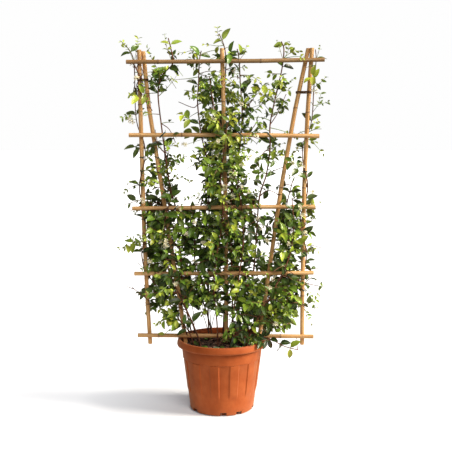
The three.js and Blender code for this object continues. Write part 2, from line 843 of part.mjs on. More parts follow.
for (const name of Object.keys(UPRIGHTS)) {
  bodies.set(name, solid(tube(curves[name], uprightStations(name), CANE_SIDES)));
  soil = soil.subtract(solid(tube(curves[name], uprightStations(name), CANE_SIDES, HOLE_CLEARANCE)));
}
for (const name of Object.keys(BARS)) {
  bodies.set(name, solid(tube(curves[name], barStations(name), CANE_SIDES)));
}
for (const pin of pins) {
  const bore = solid(pinGeometry(pin, PIN_RADIUS + GAP, pinFront - 1, pinBack + GAP));
  bodies.set(pin.bar, bodies.get(pin.bar).subtract(bore));
  bodies.set(pin.post, bodies.get(pin.post).subtract(bore));
  bodies.set(pin.name, solid(pinGeometry(pin, PIN_RADIUS, pinFront, pinBack)));
}

for (const stem of STEMS) {
  stem.curve = route(stem.points);
  stem.plans = shootPlans(stem).filter((plan) => carriesPair(plan) || carriesShoot(plan));
  stem.body = solid(tube(stem.curve, stemStations(stem), STEM_SIDES));
  soil = soil.subtract(solid(tube(stem.curve, stemStations(stem), STEM_SIDES, HOLE_CLEARANCE)));
}
bodies.set("pot", potSolid());
bodies.set("soil", soil);

const stemNamed = (name) => STEMS.find((stem) => stem.name === name);

// A band round a level cane and the stem that climbs behind it, set across both at a slant.
function barTie(barName, stemName, slant) {
  const stem = stemNamed(stemName);
  const level = BARS[barName][1][1];
  const guess = stem.curve.getPoint(placeAtHeight(stem.curve, level)).x;
  const place = placeAtHeight(stem.curve, barHeight(barName, guess));
  const stemPoint = stem.curve.getPoint(place);
  const centre = new THREE.Vector3(stemPoint.x, BAR_Y, barHeight(barName, stemPoint.x));
  const across = new THREE.Vector3(slant, 0, 1).normalize();
  const off = new THREE.Vector3(0, 1, 0);
  const smear = TIE_BREADTH / 2 + 0.4;
  const thick = stemRadius(stem, place);
  return band(
    [
      [0, 0, BAR_RADIUS * Math.SQRT2 + smear, BAR_RADIUS],
      [0, stemPoint.y - BAR_Y, thick * Math.SQRT2 + smear + TILT_ROOM, thick + 0.4],
    ],
    centre,
    across,
    off,
  );
}

// A band round an upright cane and a rod beside it, level.
function poleTie(poleName, rodCurve, rodRadius, height) {
  const pole = curves[poleName].getPoint(placeAtHeight(curves[poleName], height));
  const rod = rodCurve.getPoint(placeAtHeight(rodCurve, height));
  const across = new THREE.Vector3(rod.x - pole.x, rod.y - pole.y, 0);
  const spacing = across.length();
  across.normalize();
  const off = new THREE.Vector3().crossVectors(new THREE.Vector3(0, 0, 1), across);
  return band(
    [
      [0, 0, CANE_RADIUS + 0.1, CANE_RADIUS + 0.1],
      [spacing, 0, rodRadius, rodRadius],
    ],
    pole,
    across,
    off,
  );
}

const postStemRadius = stemNamed("leafy_stem_left_post").radius[0] + SLOPE_ROOM;
const postTie = (side, height) =>
  poleTie(`post_${side}`, stemNamed(`leafy_stem_${side}_post`).curve, postStemRadius, height);
const lashing = (side, height) =>
  poleTie(`post_${side}`, curves[`cane_leaning_${side}`], CANE_RADIUS + SLOPE_ROOM, height);
const tallest = stemNamed("leafy_stem_tallest");

const ties = {
  tie_bar_4_left: barTie("bar_4", "leafy_stem_left_inner", 1),
  tie_bar_3_left: barTie("bar_3", "leafy_stem_left_inner", 1),
  tie_bar_2_left: barTie("bar_2", "leafy_stem_left_inner", 1),
  tie_bar_3_centre_left: barTie("bar_3", "leafy_stem_centre_left", 1),
  tie_bar_2_centre_right: barTie("bar_2", "leafy_stem_centre_right", -1),
  tie_bar_3_right: barTie("bar_3", "leafy_stem_right_inner", -1),
  tie_bar_2_right: barTie("bar_2", "leafy_stem_right_inner", -1),
  tie_post_left: postTie("left", TIE_HEIGHTS.post_left),
  tie_post_right_low: postTie("right", TIE_HEIGHTS.post_right_low),
  tie_post_right_high: postTie("right", TIE_HEIGHTS.post_right_high),
  tie_middle: poleTie("cane_middle", tallest.curve, tallest.radius[0], TIE_HEIGHTS.middle),
  lashing_left: lashing("left", LASHING_HEIGHTS.left),
  lashing_right: lashing("right", LASHING_HEIGHTS.right),
};
for (const [name, body] of Object.entries(ties)) {
  bodies.set(name, body);
}

for (const [name, body] of bodies) {
  keep(name, body, boxOf(geometryOf(body)));
}
for (const stem of STEMS) {
  keep(stem.name, stem.body, boxOf(geometryOf(stem.body)), { isStem: true });
}

// One flower: a narrow tube that opens into a star of five petals, from a cone with a star for its rim.
function flowerSolid(rootPoint, facing) {
  const petals = 5;
  const { side, up } = squareTo(facing);
  return solid(
    reshape(new THREE.ConeGeometry(1, 1, 2 * petals, 1), (point) => {
      if (point.y > 0) {
        return rootPoint;
      }
      const isRim = Math.hypot(point.x, point.z) > 0.5;
      const angle = Math.atan2(point.z, point.x);
      const isTip = Math.round((angle / Math.PI) * petals + 2 * petals) % 2 === 0;
      const reach = isTip ? FLOWER_RADIUS : FLOWER_THROAT;
      return rootPoint
        .clone()
        .addScaledVector(facing, FLOWER_LENGTH + (isRim && isTip ? FLOWER_CUP : -FLOWER_CUP))
        .addScaledVector(up, isRim ? Math.cos(angle) * reach : 0)
        .addScaledVector(side, isRim ? Math.sin(angle) * reach : 0);
    }),
  );
}

// A stalk's line from a stem's side to its head, seated against the stem's flat sides.
function stalkLine(stem, start, out, head) {
  let line;
  let stand = 0;
  do {
    stand += SEAT_STEP;
    line = new THREE.LineCurve3(start.clone().addScaledVector(out, stand), head);
  } while (!stalkSolid(line).intersect(stem.body).isEmpty());
  return new THREE.LineCurve3(start.clone().addScaledVector(out, stand + GAP), head);
}

function stalkSolid(line) {
  return solid(tube(line, [[0, STALK_RADIUS], [1, STALK_RADIUS]], SHOOT_SIDES));
}

// A cluster of flowers on a short stalk that starts against a stem.
function clusterSolid(stem, along, turn) {
  const start = stem.curve.getPoint(along);
  const { side, up } = squareTo(tangentAt(stem.curve, along));
  const out = side.multiplyScalar(Math.cos(turn)).addScaledVector(up, Math.sin(turn));
  const head = start.clone().addScaledVector(out, CLUSTER_STALK).add(new THREE.Vector3(0, 0, CLUSTER_LIFT));
  const stalk = stalkLine(stem, start, out, head);
  let cluster = stalkSolid(stalk);
  const { side: left, up: high } = squareTo(out);
  const joint = stalk.getPoint(0.92);
  for (let i = 0; i < FLOWERS_IN_CLUSTER; i += 1) {
    const angle = turn + (i * 2 * Math.PI) / FLOWERS_IN_CLUSTER;
    const facing = out
      .clone()
      .multiplyScalar(0.7)
      .addScaledVector(left, Math.cos(angle))
      .addScaledVector(high, Math.sin(angle))
      .normalize();
    cluster = cluster.add(flowerSolid(joint, facing));
  }
  return cluster;
}

// Flower clusters: the stem, the place along it and the first way to turn
const CLUSTERS = [
  ["leafy_stem_centre_right", 0.43, 0.2],
  ["leafy_stem_centre_left", 0.6, 2.6],
  ["leafy_stem_front_right_column", 0.62, -1.2],
  ["leafy_stem_right_post", 0.42, 2.4],
  ["leafy_stem_left_post", 0.8, -0.6],
  ["leafy_stem_left_front", 0.7, -1.6],
];
CLUSTERS.forEach(([stemName, along, firstTurn], index) => {
  const stem = stemNamed(stemName);
  for (let attempt = 0; attempt < CLUSTER_TRIES; attempt += 1) {
    const body = clusterSolid(stem, along, firstTurn + (attempt * 2 * Math.PI) / CLUSTER_TRIES);
    const box = boxOf(geometryOf(body));
    if (isClear(body, box, () => false)) {
      const name = `flower_cluster_${index + 1}`;
      bodies.set(name, body);
      keep(name, body, box);
      return;
    }
  }
  throw new Error(`no room for the flowers on ${stemName}`);
});

// A shoot's stations: at its root, at each pair of leaves, the last a little further on.
function shootStations(start, margin) {
  const places = SOLID_STATIONS.map((station) => LEAF_STATIONS[station]);
  places[places.length - 1] += SHOOT_TIP_EXTRA;
  return [start, ...places].map((place) => [place, mix(SHOOT_RADIUS, SHOOT_TIP_RADIUS, place) + margin]);
}

// Shoots, each turned round its stem until it is clear
const shoots = [];
for (const stem of STEMS) {
  for (const plan of stem.plans.filter(carriesShoot)) {
    for (const extraTurn of SHOOT_TURNS) {
      const curve = shootCurve(stem.curve, plan, extraTurn);
      const guard = solid(tube(curve, shootStations(GUARD_ROOT, 1), SHOOT_SIDES));
      const box = boxOf(geometryOf(guard));
      const body = solid(tube(curve, shootStations(0, 0), SHOOT_SIDES));
      const isOwn = (other) => other.owner === stem.name && other.isStem;
      if (isClear(guard, box, isOwn) && isClear(body, box, isOwn)) {
        const shoot = { stem, plan, curve, body };
        shoots.push(shoot);
        keep(stem.name, body, boxOf(geometryOf(body)), { shoot });
        break;
      }
    }
  }
}

// Stems with their shoots and leaves joined on
const grown = new Map(STEMS.map((stem) => [stem.name, stem.body]));

// Adds the leaves of a pair, each swung round what carries it until its blade is clear.
function growPair(stem, pairAt, isCarrier) {
  for (const member of [0, 1]) {
    for (const swing of LEAF_SWINGS) {
      const plan = pairAt(swing)[member];
      const guard = blade(plan, BLADE_THICKNESS + 2 * GUARD_MARGIN, GUARD_ROOT, GUARD_MARGIN);
      const leaf = blade(plan, BLADE_THICKNESS);
      const leafBody = solid(leaf);
      const leafBox = boxOf(leaf);
      const isOwn = (other) => other.owner === stem.name;
      if (isClear(solid(guard), boxOf(guard), isCarrier) && isClear(leafBody, leafBox, isOwn)) {
        keep(stem.name, leafBody, leafBox);
        grown.set(stem.name, grown.get(stem.name).add(leafBody));
        break;
      }
    }
  }
}

for (const shoot of shoots) {
  grown.set(shoot.stem.name, grown.get(shoot.stem.name).add(shoot.body));
  for (const station of [...SOLID_STATIONS].reverse()) {
    growPair(
      shoot.stem,
      (swing) => shootPair(shoot.curve, shoot.plan, station, swing),
      (other) => other.shoot === shoot,
    );
  }
}
for (const stem of STEMS) {
  for (const plan of stem.plans.filter(carriesPair)) {
    growPair(
      stem,
      (swing) => stemPair(stem, plan, swing),
      (other) => other.owner === stem.name && other.isStem,
    );
  }
}

// The material that goes with the first word of a piece's name
const LOOK_OF_FIRST_WORD = {
  pot: LOOKS.terracotta,
  soil: LOOKS.soil,
  post: LOOKS.bamboo,
  cane: LOOKS.bamboo,
  bar: LOOKS.bamboo,
  pin: LOOKS.wire,
  tie: LOOKS.tie,
  lashing: LOOKS.tie,
  flower: LOOKS.flower,
  leafy: LOOKS.leaf,
};
for (const [name, body] of [...bodies, ...grown]) {
  add(name, body, LOOK_OF_FIRST_WORD[name.split("_")[0]]);
}

export default root;
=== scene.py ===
"""A potted star jasmine on a bamboo cane trellis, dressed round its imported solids.

Lengths in the tables are millimetres in the part's own frame: +Z up, the origin in the middle
of the pot's base, the trellis in the X-Z plane and the side that is looked at facing -Y.
"""

import functools
import math
from collections import namedtuple

import bmesh
import bpy
import numpy as np
from mathutils import Matrix, Vector, kdtree, noise


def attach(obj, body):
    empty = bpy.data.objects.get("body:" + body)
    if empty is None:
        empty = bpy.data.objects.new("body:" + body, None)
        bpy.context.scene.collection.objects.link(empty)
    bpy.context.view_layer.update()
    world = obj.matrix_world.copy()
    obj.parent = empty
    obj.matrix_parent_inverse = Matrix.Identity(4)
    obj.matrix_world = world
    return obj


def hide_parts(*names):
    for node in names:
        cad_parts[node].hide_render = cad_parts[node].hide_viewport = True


bl_info = {
    "name": "Potted Star Jasmine",
    "version": (1, 0, 0),
    "blender": (4, 5, 0),
    "location": "View3D > Sidebar > Jasmine",
    "description": "Models a star jasmine on a bamboo trellis in a fluted nursery pot",
    "category": "Object",
}

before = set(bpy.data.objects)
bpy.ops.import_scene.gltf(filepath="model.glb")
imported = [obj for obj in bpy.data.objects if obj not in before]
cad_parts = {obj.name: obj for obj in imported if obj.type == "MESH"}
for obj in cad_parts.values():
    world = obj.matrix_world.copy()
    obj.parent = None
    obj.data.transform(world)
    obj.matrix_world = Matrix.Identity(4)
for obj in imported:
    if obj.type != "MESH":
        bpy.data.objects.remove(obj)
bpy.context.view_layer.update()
BODY = "root"
MM = 0.001
ORIGIN = (0, 0, 0)

# Pot, as in the solids
POT_HEIGHT = 238
RIM_RADIUS = 150
NECK_FOOT_HEIGHT = 175
BODY_TOP_RADIUS = 127.5
BASE_RADIUS = 106
WALL = 3
FLOOR = 6
FLUTE_PANELS = 24
FLUTE_FOOT = 57
FLUTE_HEAD = 172.5
FLUTE_START_DEG = -11
HALF_PANEL_DEG = 6.3
COLUMNS_PER_PANEL = 12
# The share of a panel's rise that each step adds, from a height up
FLUTE_STEPS = ((60, 0.3), (67, 0.4), (75, 0.3))
NOTCH_ANGLES_DEG = [-55, 3, 32, 75, 125, 183, 212, 255]
NOTCH_SIZE = (21, 24, 25)

# Soil, as in the solids
SOIL_LEVEL = 219
SOIL_EDGE_LEVEL = 217
SOIL_MOUND = 4
SOIL_BUMP = 1.8
# The soil's side: radius and height at its foot, at the pot's step and at its edge
SOIL_SIDE = ((102.3, 6.4), (127.1, 181), (133.1, 217))
SOIL_RADIUS = SOIL_SIDE[-1][0]

# Trellis, as in the solids
CANE_RADIUS = 7
BAR_RADIUS = 6.8
UPRIGHTS = {
    "post_left": [
        (-240, 0, 217), (-247.5, 0, 352), (-256.3, 0, 590), (-264.6, 0, 1010), (-266, 0, 1185),
    ],
    "post_right": [
        (269, 0, 214), (268.2, 0, 380), (270.3, 0, 740), (279, 0, 985), (291, 0, 1191),
    ],
    "cane_leaning_left": [
        (-106, -2, 110), (-137, 1.5, 340), (-182, 4, 640), (-237, 7, 1000), (-254, 9, 1181),
    ],
    "cane_leaning_right": [
        (106, -2, 110), (143, 1.8, 360), (195, 5.2, 740), (240, 7.8, 1000), (280, 10, 1191),
    ],
    "cane_middle": [(12.5, 0, 70), (15, 0, 370), (14, 0, 610), (5.5, 0, 1020), (1, 0, 1190)],
}
BAR_Y = -14.1
BARS = {
    "bar_1_top": [(-307, 1146), (-205, 1146.2), (125, 1149), (330, 1153)],
    "bar_2": [(-301, 912), (-130, 913), (110, 912), (316, 909)],
    "bar_3": [(-293, 673), (-100, 675.5), (80, 678), (306, 679)],
    "bar_4": [(-289, 457), (-220, 457), (215, 458.5), (303, 460)],
    "bar_5_bottom": [(-280, 249), (-210, 248.5), (195, 245.5), (305, 244.5)],
}
CANES = UPRIGHTS | {name: [(x, BAR_Y, z) for x, z in line] for name, line in BARS.items()}
# How pale each cane's skin is drawn, cane by cane: the top one much darker
CANE_TONES = dict(
    bar_1_top=0.54, bar_4=1.22, bar_5_bottom=1.0, post_right=1.0, cane_leaning_left=1.25,
    cane_leaning_right=1.18, cane_middle=1.15,
)
USUAL_TONE = 1.1

# Leafy stems, as in the solids
STEM_FOOT = 186
GOLDEN_ANGLE = 2.39996
PAIR_SLOT = 3
SHOOT_SLOT = 8
FIRST_SHOOT = 4
LEAF_STATIONS = [0.26, 0.43, 0.6, 0.77, 0.94]
SOLID_STATIONS = (2, 4)
LEAF_LENGTH = (33, 49)
PAIR_TURN = 0.55
SHOOT_PAIR_TURN = 1.2
SHOOT_TURNS = [0, 0.9, -0.9, 1.8, -1.8, 2.7]
LEAF_SWINGS = [0, 0.6, -0.6, 1.2, -1.2]
BLADE_SAG = 0.18
# A twining stem runs round the cane's radius, its joint rings, a gap and its own breadth
WINDING = 7 + 0.7 + 0.3 + 3.6
TWINE_STEPS = 6


def mix(a, b, share):
    """A value between two others."""
    return a + (b - a) * share


def on_line(line, axis, value):
    """The point of a bent line at which one of its coordinates has a value."""
    columns = list(zip(*line))
    return np.array([np.interp(value, columns[axis], column) for column in columns])


def twine(post, sense):
    """A stem wound round a post, one turn from level cane to level cane."""
    middle = UPRIGHTS[post][2][0]
    levels = [on_line(BARS[bar], 0, middle)[1] for bar in ("bar_4", "bar_3", "bar_2")]
    points = []
    for bay, (low, high) in enumerate(zip(levels, levels[1:])):
        for step in range(min(bay, 1), TWINE_STEPS + 1):
            z = low + (high - low) * step / TWINE_STEPS
            angle = math.pi / 2 + sense * 2 * math.pi * step / TWINE_STEPS
            x = on_line(UPRIGHTS[post], 2, z)[0]
            points.append((x + WINDING * math.cos(angle), WINDING * math.sin(angle), z))
    return points


# Each stem's seed, radius at foot and tip, bare share, slots for leaves or shoots, how far these
# reach at foot and tip, and its way up
Stem = namedtuple("Stem", "seed radius bare slots reach points")
STEMS = {
    "left_inner": Stem(101, (3, 1.9), 0.14, 20, (95, 42), [
        (-84, 9, STEM_FOOT), (-99, 8, 240), (-118, 3, 331), (-133, -3, 440), (-140, -4.6, 552),
        (-149, -4.6, 661), (-170, -4.6, 745), (-184, -4.6, 850), (-197, -4.6, 950),
        (-206, -4.6, 1050), (-192, -4.6, 1103), (-158, -4.4, 1142), (-164, -2, 1190),
        (-172, 0, 1222),
    ]),
    "right_inner": Stem(202, (3, 1.9), 0.12, 20, (95, 42), [
        (50, 12, STEM_FOOT), (62, 9, 240), (88, 4, 350), (106, -2, 470), (115, -4.6, 600),
        (124, -4.6, 712), (146, -4.6, 785), (157, -4.6, 870), (157, -4.6, 945), (172, -4.6, 1025),
        (189, -4.6, 1098), (198, -4.4, 1150), (200, 0, 1190), (192, 4, 1212),
    ]),
    "centre_left": Stem(303, (2.8, 1.8), 0.16, 20, (80, 60), [
        (-42, 8, STEM_FOOT), (-44, 6, 240), (-46, -2, 350), (-43, -4.6, 457), (-42, -4.6, 570),
        (-42, -4.6, 677), (-45, -4.6, 760), (-50, -4.6, 840), (-66, -4.6, 911), (-78, -4.6, 1010),
        (-75, -4.6, 1080), (-72, -4.6, 1149), (-66, 0, 1182),
    ]),
    "centre_right": Stem(404, (2.8, 1.8), 0.12, 20, (80, 60), [
        (36, 8, STEM_FOOT), (36, 6, 260), (35, -3, 380), (33, -4.6, 457), (31, -4.6, 570),
        (30, -4.6, 678), (36, -4.6, 752), (50, -4.6, 820), (63, -4.6, 905), (66, -4.6, 990),
        (60, -4.6, 1080), (56, -4.4, 1151), (50, 0, 1188),
    ]),
    "tallest": Stem(505, (2.8, 1.6), 0.2, 17, (85, 38), [
        (4, 30, STEM_FOOT), (6, 24, 300), (14, 16, 430), (15, 13, 560), (14, 12.5, 700),
        (10, 12.5, 830), (8, 12.5, 960), (10, 13, 1080), (14, 10, 1150), (8, 4, 1196),
        (-8, -2, 1236),
    ]),
    "back_column": Stem(606, (2.8, 1.7), 0.15, 17, (95, 55), [
        (-22, 38, STEM_FOOT), (-48, 42, 300), (-84, 38, 420), (-92, 34, 540), (-76, 28, 650),
        (-50, 26, 760), (-34, 26, 870), (-28, 24, 970), (-36, 20, 1060),
    ]),
    "front_column": Stem(707, (2.8, 1.7), 0.15, 17, (90, 50), [
        (-12, -36, STEM_FOOT), (-16, -44, 300), (-26, -48, 420), (-14, -44, 540), (4, -40, 650),
        (-4, -36, 760), (8, -40, 860), (18, -39, 950),
    ]),
    "front_right_column": Stem(808, (2.8, 1.6), 0.12, 17, (85, 45), [
        (28, -34, STEM_FOOT), (34, -42, 300), (52, -44, 430), (70, -40, 560), (64, -36, 680),
        (40, -33, 790), (12, -28, 900), (-24, -27, 1000), (-40, -27, 1100),
    ]),
    "left_front": Stem(909, (2.8, 1.7), 0.2, 17, (90, 55), [
        (-60, -38, STEM_FOOT), (-82, -48, 262), (-118, -50, 350), (-160, -44, 440),
        (-188, -38, 540), (-184, -34, 640), (-160, -31, 720),
    ]),
    "left_back": Stem(1010, (2.8, 1.7), 0.18, 17, (90, 50), [
        (-76, 50, STEM_FOOT), (-108, 60, 290), (-160, 56, 390), (-204, 46, 490), (-214, 36, 600),
        (-200, 30, 710), (-216, 26, 800),
    ]),
    "right_front": Stem(1111, (2.8, 1.7), 0.1, 17, (90, 55), [
        (66, -46, STEM_FOOT), (92, -56, 262), (132, -54, 340), (176, -46, 420), (218, -38, 510),
        (234, -34, 610), (228, -31, 710),
    ]),
    "right_back": Stem(1212, (2.8, 1.7), 0.1, 17, (90, 50), [
        (72, 54, STEM_FOOT), (108, 62, 270), (160, 58, 350), (206, 48, 440), (226, 38, 550),
        (214, 32, 660), (234, 27, 760),
    ]),
    "left_post": Stem(1313, (2.2, 1.6), 0.1, 20, (62, 40), [
        (-100, 30, STEM_FOOT), (-122, 34, 250), (-168, 32, 330), (-214, 24, 400),
        *twine("post_left", 1), (-274, 12, 938), (-280, 0, 985), (-281, -3, 1065),
        (-283, -4, 1146), (-296, -2, 1182), (-318, 0, 1206),
    ]),
    "right_post": Stem(1414, (2.2, 1.6), 0.08, 23, (70, 52), [
        (98, 34, STEM_FOOT), (126, 38, 250), (178, 34, 330), (226, 24, 400),
        *twine("post_right", -1), (289, 11, 938), (295, 0, 985), (298, -3, 1065),
        (304, -4, 1151), (302, 0, 1186),
    ]),
    "right_trailing": Stem(1515, (2.2, 1.5), 0.35, 12, (42, 32), [
        (94, -30, STEM_FOOT), (106, -38, 228), (134, -50, 252), (166, -56, 243), (206, -56, 222),
        (252, -50, 208),
    ]),
    "left_low": Stem(1616, (2.2, 1.5), 0.4, 12, (52, 40), [
        (-88, -24, STEM_FOOT), (-98, -36, 240), (-118, -46, 284), (-146, -50, 312),
        (-172, -50, 310),
    ]),
}


def unit(v):
    """A vector of length one."""
    v = np.asarray(v, float)
    return v / np.linalg.norm(v)


def square_part(vector, direction):
    """What of a vector is square to a direction, at length one."""
    vector = np.asarray(vector, float)
    return unit(vector - direction * vector.dot(direction))


def square_to(direction):
    """Two directions square to a third: the first is level or nearly so."""
    reference = np.array((0, 1, 0) if abs(direction[1]) < 0.9 else (0, 0, 1), float)
    side = unit(np.cross(direction, reference))
    return side, unit(np.cross(side, direction))


def smooth(low, high, x):
    """0 below low, 1 above high and a smooth step between."""
    t = np.clip((x - low) / (high - low), 0, 1)
    return t * t * (3 - 2 * t)


class Route:
    """A smooth route through points, the same Catmull-Rom curve that the solids follow."""

    def __init__(self, points):
        points = np.array(points, float)
        first, last = 2 * points[0] - points[1], 2 * points[-1] - points[-2]
        self.points = np.vstack([first, points, last])
        self.spans = len(points) - 1

    def at(self, along):
        """The point at a share of the way."""
        place = self.spans * min(max(along, 0.0), 1.0)
        span = min(int(place), self.spans - 1)
        w = place - span
        before, start, end, after = self.points[span : span + 4]
        leave, arrive = 0.5 * (end - before), 0.5 * (after - start)
        square = -3 * start + 3 * end - 2 * leave - arrive
        cube = 2 * start - 2 * end + leave + arrive
        return start + leave * w + square * w**2 + cube * w**3

    def tangent(self, along, step=0.004):
        """The direction at a share of the way."""
        return unit(self.at(min(1, along + step)) - self.at(max(0, along - step)))

    def at_height(self, height):
        """The share of the way at which a route that climbs passes a height, by halving."""
        low, high = 0.0, 1.0
        for _ in range(40):
            middle = (low + high) / 2
            if self.at(middle)[2] < height:
                low = middle
            else:
                high = middle
        return low


def draws(seed):
    """Repeatable random numbers from 0 to 1, the same that the solids use."""
    state = seed

    def draw():
        nonlocal state
        state = (state * 1664525 + 1013904223) & 0xFFFFFFFF
        return state / 4294967296

    return draw


# A place on a stem that may carry leaves or a shoot, with the random part of each
Plan = namedtuple("Plan", "slot along turn rise reach curl leaves")


def leaf_chances(draw):
    """Random numbers for six pairs of leaves: size, swing, lean and roll of each."""
    return [[[draw() for _ in range(4)] for _ in range(2)] for _ in range(6)]


def stem_plans(stem):
    """The plans of a stem, as in the solids."""
    draw = draws(stem.seed)
    plans = []
    for slot in range(stem.slots):
        along = stem.bare + (1 - stem.bare) * (slot + 0.8) / stem.slots
        turn = slot * GOLDEN_ANGLE + 0.8 * (draw() - 0.5)
        rise = -0.1 + 0.9 * draw()
        reach = mix(*stem.reach, along) * (0.7 + 0.6 * draw())
        curl = -0.55 + 0.8 * draw()
        plans.append(Plan(slot, along, turn, rise, reach, curl, leaf_chances(draw)))
    return plans


def shoot_route(parent, plan, extra_turn):
    """A shoot's route: out from its parent, then lifting or sagging."""
    start = parent.at(plan.along)
    angle = plan.turn + extra_turn
    out = unit((math.cos(angle), 0.72 * math.sin(angle), plan.rise))
    drop = np.array((0, 0, plan.curl * plan.reach))
    return Route([start + out * plan.reach * share + drop * share**2 for share in (0, 0.5, 1)])


def leaf_place(route, along, chances, member, first_turn, swing_turn=0):
    """One leaf's root, direction, upper side and length, as the solids work them out."""
    size, swing, lean, roll = chances
    root, tangent = route.at(along), route.tangent(along)
    side, up = square_to(tangent)
    turn = first_turn + member * math.pi + 0.9 * (swing - 0.5) + swing_turn
    away = side * math.cos(turn) + up * math.sin(turn)
    spread = 0.8 + 0.5 * lean
    direction = unit(tangent * math.cos(spread) + away * math.sin(spread) + (0, 0, -BLADE_SAG))
    light = (1.2 * (roll - 0.5), -0.8 if root[1] < 0 else 0.8, 0.7)
    return root, direction, square_part(light, direction), mix(*LEAF_LENGTH, size)


def stem_leaf(route, plan, member, swing_turn):
    """A leaf that stands on the stem itself."""
    first_turn = PAIR_TURN * (plan.slot % 3) - PAIR_TURN
    return leaf_place(route, plan.along, plan.leaves[0][member], member, first_turn, swing_turn)


def shoot_leaf(route, plan, station, member, swing_turn):
    """A leaf at one of a shoot's stations."""
    chances, first_turn = plan.leaves[station + 1][member], station * SHOOT_PAIR_TURN
    return leaf_place(route, LEAF_STATIONS[station], chances, member, first_turn, swing_turn)


# Shares of a blade's length: how far its edges stand up, and how far its middle arches
BLADE_FOLD = 0.32
BLADE_ARCH = 0.1
LEAF_TOLERANCE = 0.15


def arch(share):
    """How far a blade lies above its chord at a share of its length."""
    return BLADE_ARCH * (0.49 - (2 * share - 0.7) ** 2)


class SolidPoints:
    """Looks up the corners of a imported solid, in millimetres."""

    def __init__(self, node):
        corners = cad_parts[node].data.vertices
        self.tree = kdtree.KDTree(len(corners))
        for corner in corners:
            self.tree.insert(corner.co / MM, corner.index)
        self.tree.balance()

    def distance(self, point):
        """How far a point lies from the nearest corner."""
        return self.tree.find(Vector(point))[2]

    def leaf(self, leaf_at):
        """The leaf that the solid has, whichever way it is swung there, or None."""
        for swing_turn in LEAF_SWINGS:
            root, direction, normal, length = leaf = leaf_at(swing_turn)
            if self.distance(root + length * (direction + arch(1) * normal)) < LEAF_TOLERANCE:
                return leaf
        return None


# How full the plant is from the front: left, right, foot and top in millimetres, and a share
FOLIAGE_ZONES = [
    (-250, 236, 448, 672, 1.0), (236, 310, 448, 672, 0.62), (-20, 120, 600, 728, 1.0),
    (-245, -96, 372, 470, 0.85), (-150, 30, 345, 470, 0.9), (-5, 150, 238, 470, 1.0),
    (-225, -150, 700, 860, 0.5), (140, 302, 262, 470, 1.0), (-245, -150, 295, 400, 1.0),
    (-60, 5, 325, 380, 0.95), (-292, -225, 355, 430, 0.85), (-60, 72, 672, 845, 0.95),
    (-88, 78, 835, 925, 0.95), (-72, 130, 905, 1010, 0.95), (-84, 128, 1010, 1095, 0.95),
    (-140, -60, 1098, 1165, 0.8), (-240, -180, 1050, 1160, 0.95), (-300, -246, 1090, 1190, 0.5),
    (100, 232, 1050, 1122, 0.78), (150, 230, 985, 1060, 0.6), (-95, 120, 1080, 1165, 0.5),
    (100, 170, 905, 1100, 0.6), (-120, -60, 800, 870, 0.8), (-262, -215, 672, 728, 0.9),
    (72, 212, 672, 915, 0.55), (222, 325, 660, 925, 0.4), (205, 262, 895, 965, 0.7),
    (160, 215, 795, 872, 0.9), (205, 330, 925, 1165, 0.3), (-300, -166, 660, 760, 0.45),
    (-250, -145, 745, 965, 0.62), (-245, -128, 795, 885, 0.98), (-300, -150, 960, 1185, 0.32),
    (-330, -236, 380, 690, 0.16), (-290, 250, 1140, 1195, 0.2), (290, 345, 380, 460, 0.6),
    (-215, -135, 255, 322, 0.6), (205, 262, 195, 250, 0.3),
]
ZONE_EDGE = 22
SPARSEST = 0.05


def between(low, high, x):
    """1 between two bounds and 0 outside them, with soft edges."""
    rise = smooth(low - ZONE_EDGE, low + ZONE_EDGE, x)
    return rise * (1 - smooth(high - ZONE_EDGE, high + ZONE_EDGE, x))


def fullness(point):
    """The share of leaves that grow at a point."""
    x, _, z = point
    return max(
        SPARSEST,
        *(
            float(share * (between(left, right, x) * between(foot, top, z)))
            for left, right, foot, top, share in FOLIAGE_ZONES
        ),
    )


# What leaves and shoots keep clear of: canes, the pot's wall between two radii, and the soil
CANE_STARTS = np.array([point for line in CANES.values() for point in line[:-1]], float)
CANE_ENDS = np.array([point for line in CANES.values() for point in line[1:]], float)
SHOOT_CLEARANCE = 9.5
LEAF_CLEARANCE = 8.2
TIP_CLEARANCE = 8
WALL_RADII = (124, 154)
WALL_TOP = POT_HEIGHT + 3
SOIL_REACH = 136
SOIL_TOP = SOIL_LEVEL + 8
SIDE_LIMITS = (-332, 344)
LEAF_PROBES = [(0.25, 0), (0.5, -0.22), (0.5, 0.22), (0.75, -0.15), (0.75, 0.15), (1, 0)]


def gaps(points, starts, ends):
    """How far points lie from each straight length between starts and ends."""
    run = ends - starts
    share = ((points - starts) * run).sum(-1) / (run * run).sum(-1)
    nearest = starts + np.clip(share, 0, 1)[..., None] * run
    return np.linalg.norm(points - nearest, axis=-1)


def near_canes(points, clearance=SHOOT_CLEARANCE):
    """True where any of the points lies in or against a cane."""
    points = np.asarray(points, float)[:, None, :]
    return bool((gaps(points, CANE_STARTS, CANE_ENDS) < clearance).any())


def in_pot(points):
    """True where any of the points lies in the pot's wall or in the soil."""
    x, y, z = np.asarray(points, float).T
    radius = np.hypot(x, y)
    in_wall = (radius > WALL_RADII[0]) & (radius < WALL_RADII[1]) & (z < WALL_TOP)
    return bool((in_wall | (radius < SOIL_REACH) & (z < SOIL_TOP)).any())


def in_reach(points, slack=0):
    """Whether points stay inside the width that the plant may take."""
    return all(SIDE_LIMITS[0] - slack < x < SIDE_LIMITS[1] + slack for x, _, _ in points)


def leaf_is_clear(leaf):
    """Whether a leaf stays inside the plant's width, and off canes, pot and soil."""
    root, direction, normal, length = leaf
    side = np.cross(normal, direction)
    points = [root + length * (along * direction + across * side) for along, across in LEAF_PROBES]
    return in_reach(points) and not near_canes(points, LEAF_CLEARANCE) and not in_pot(points)


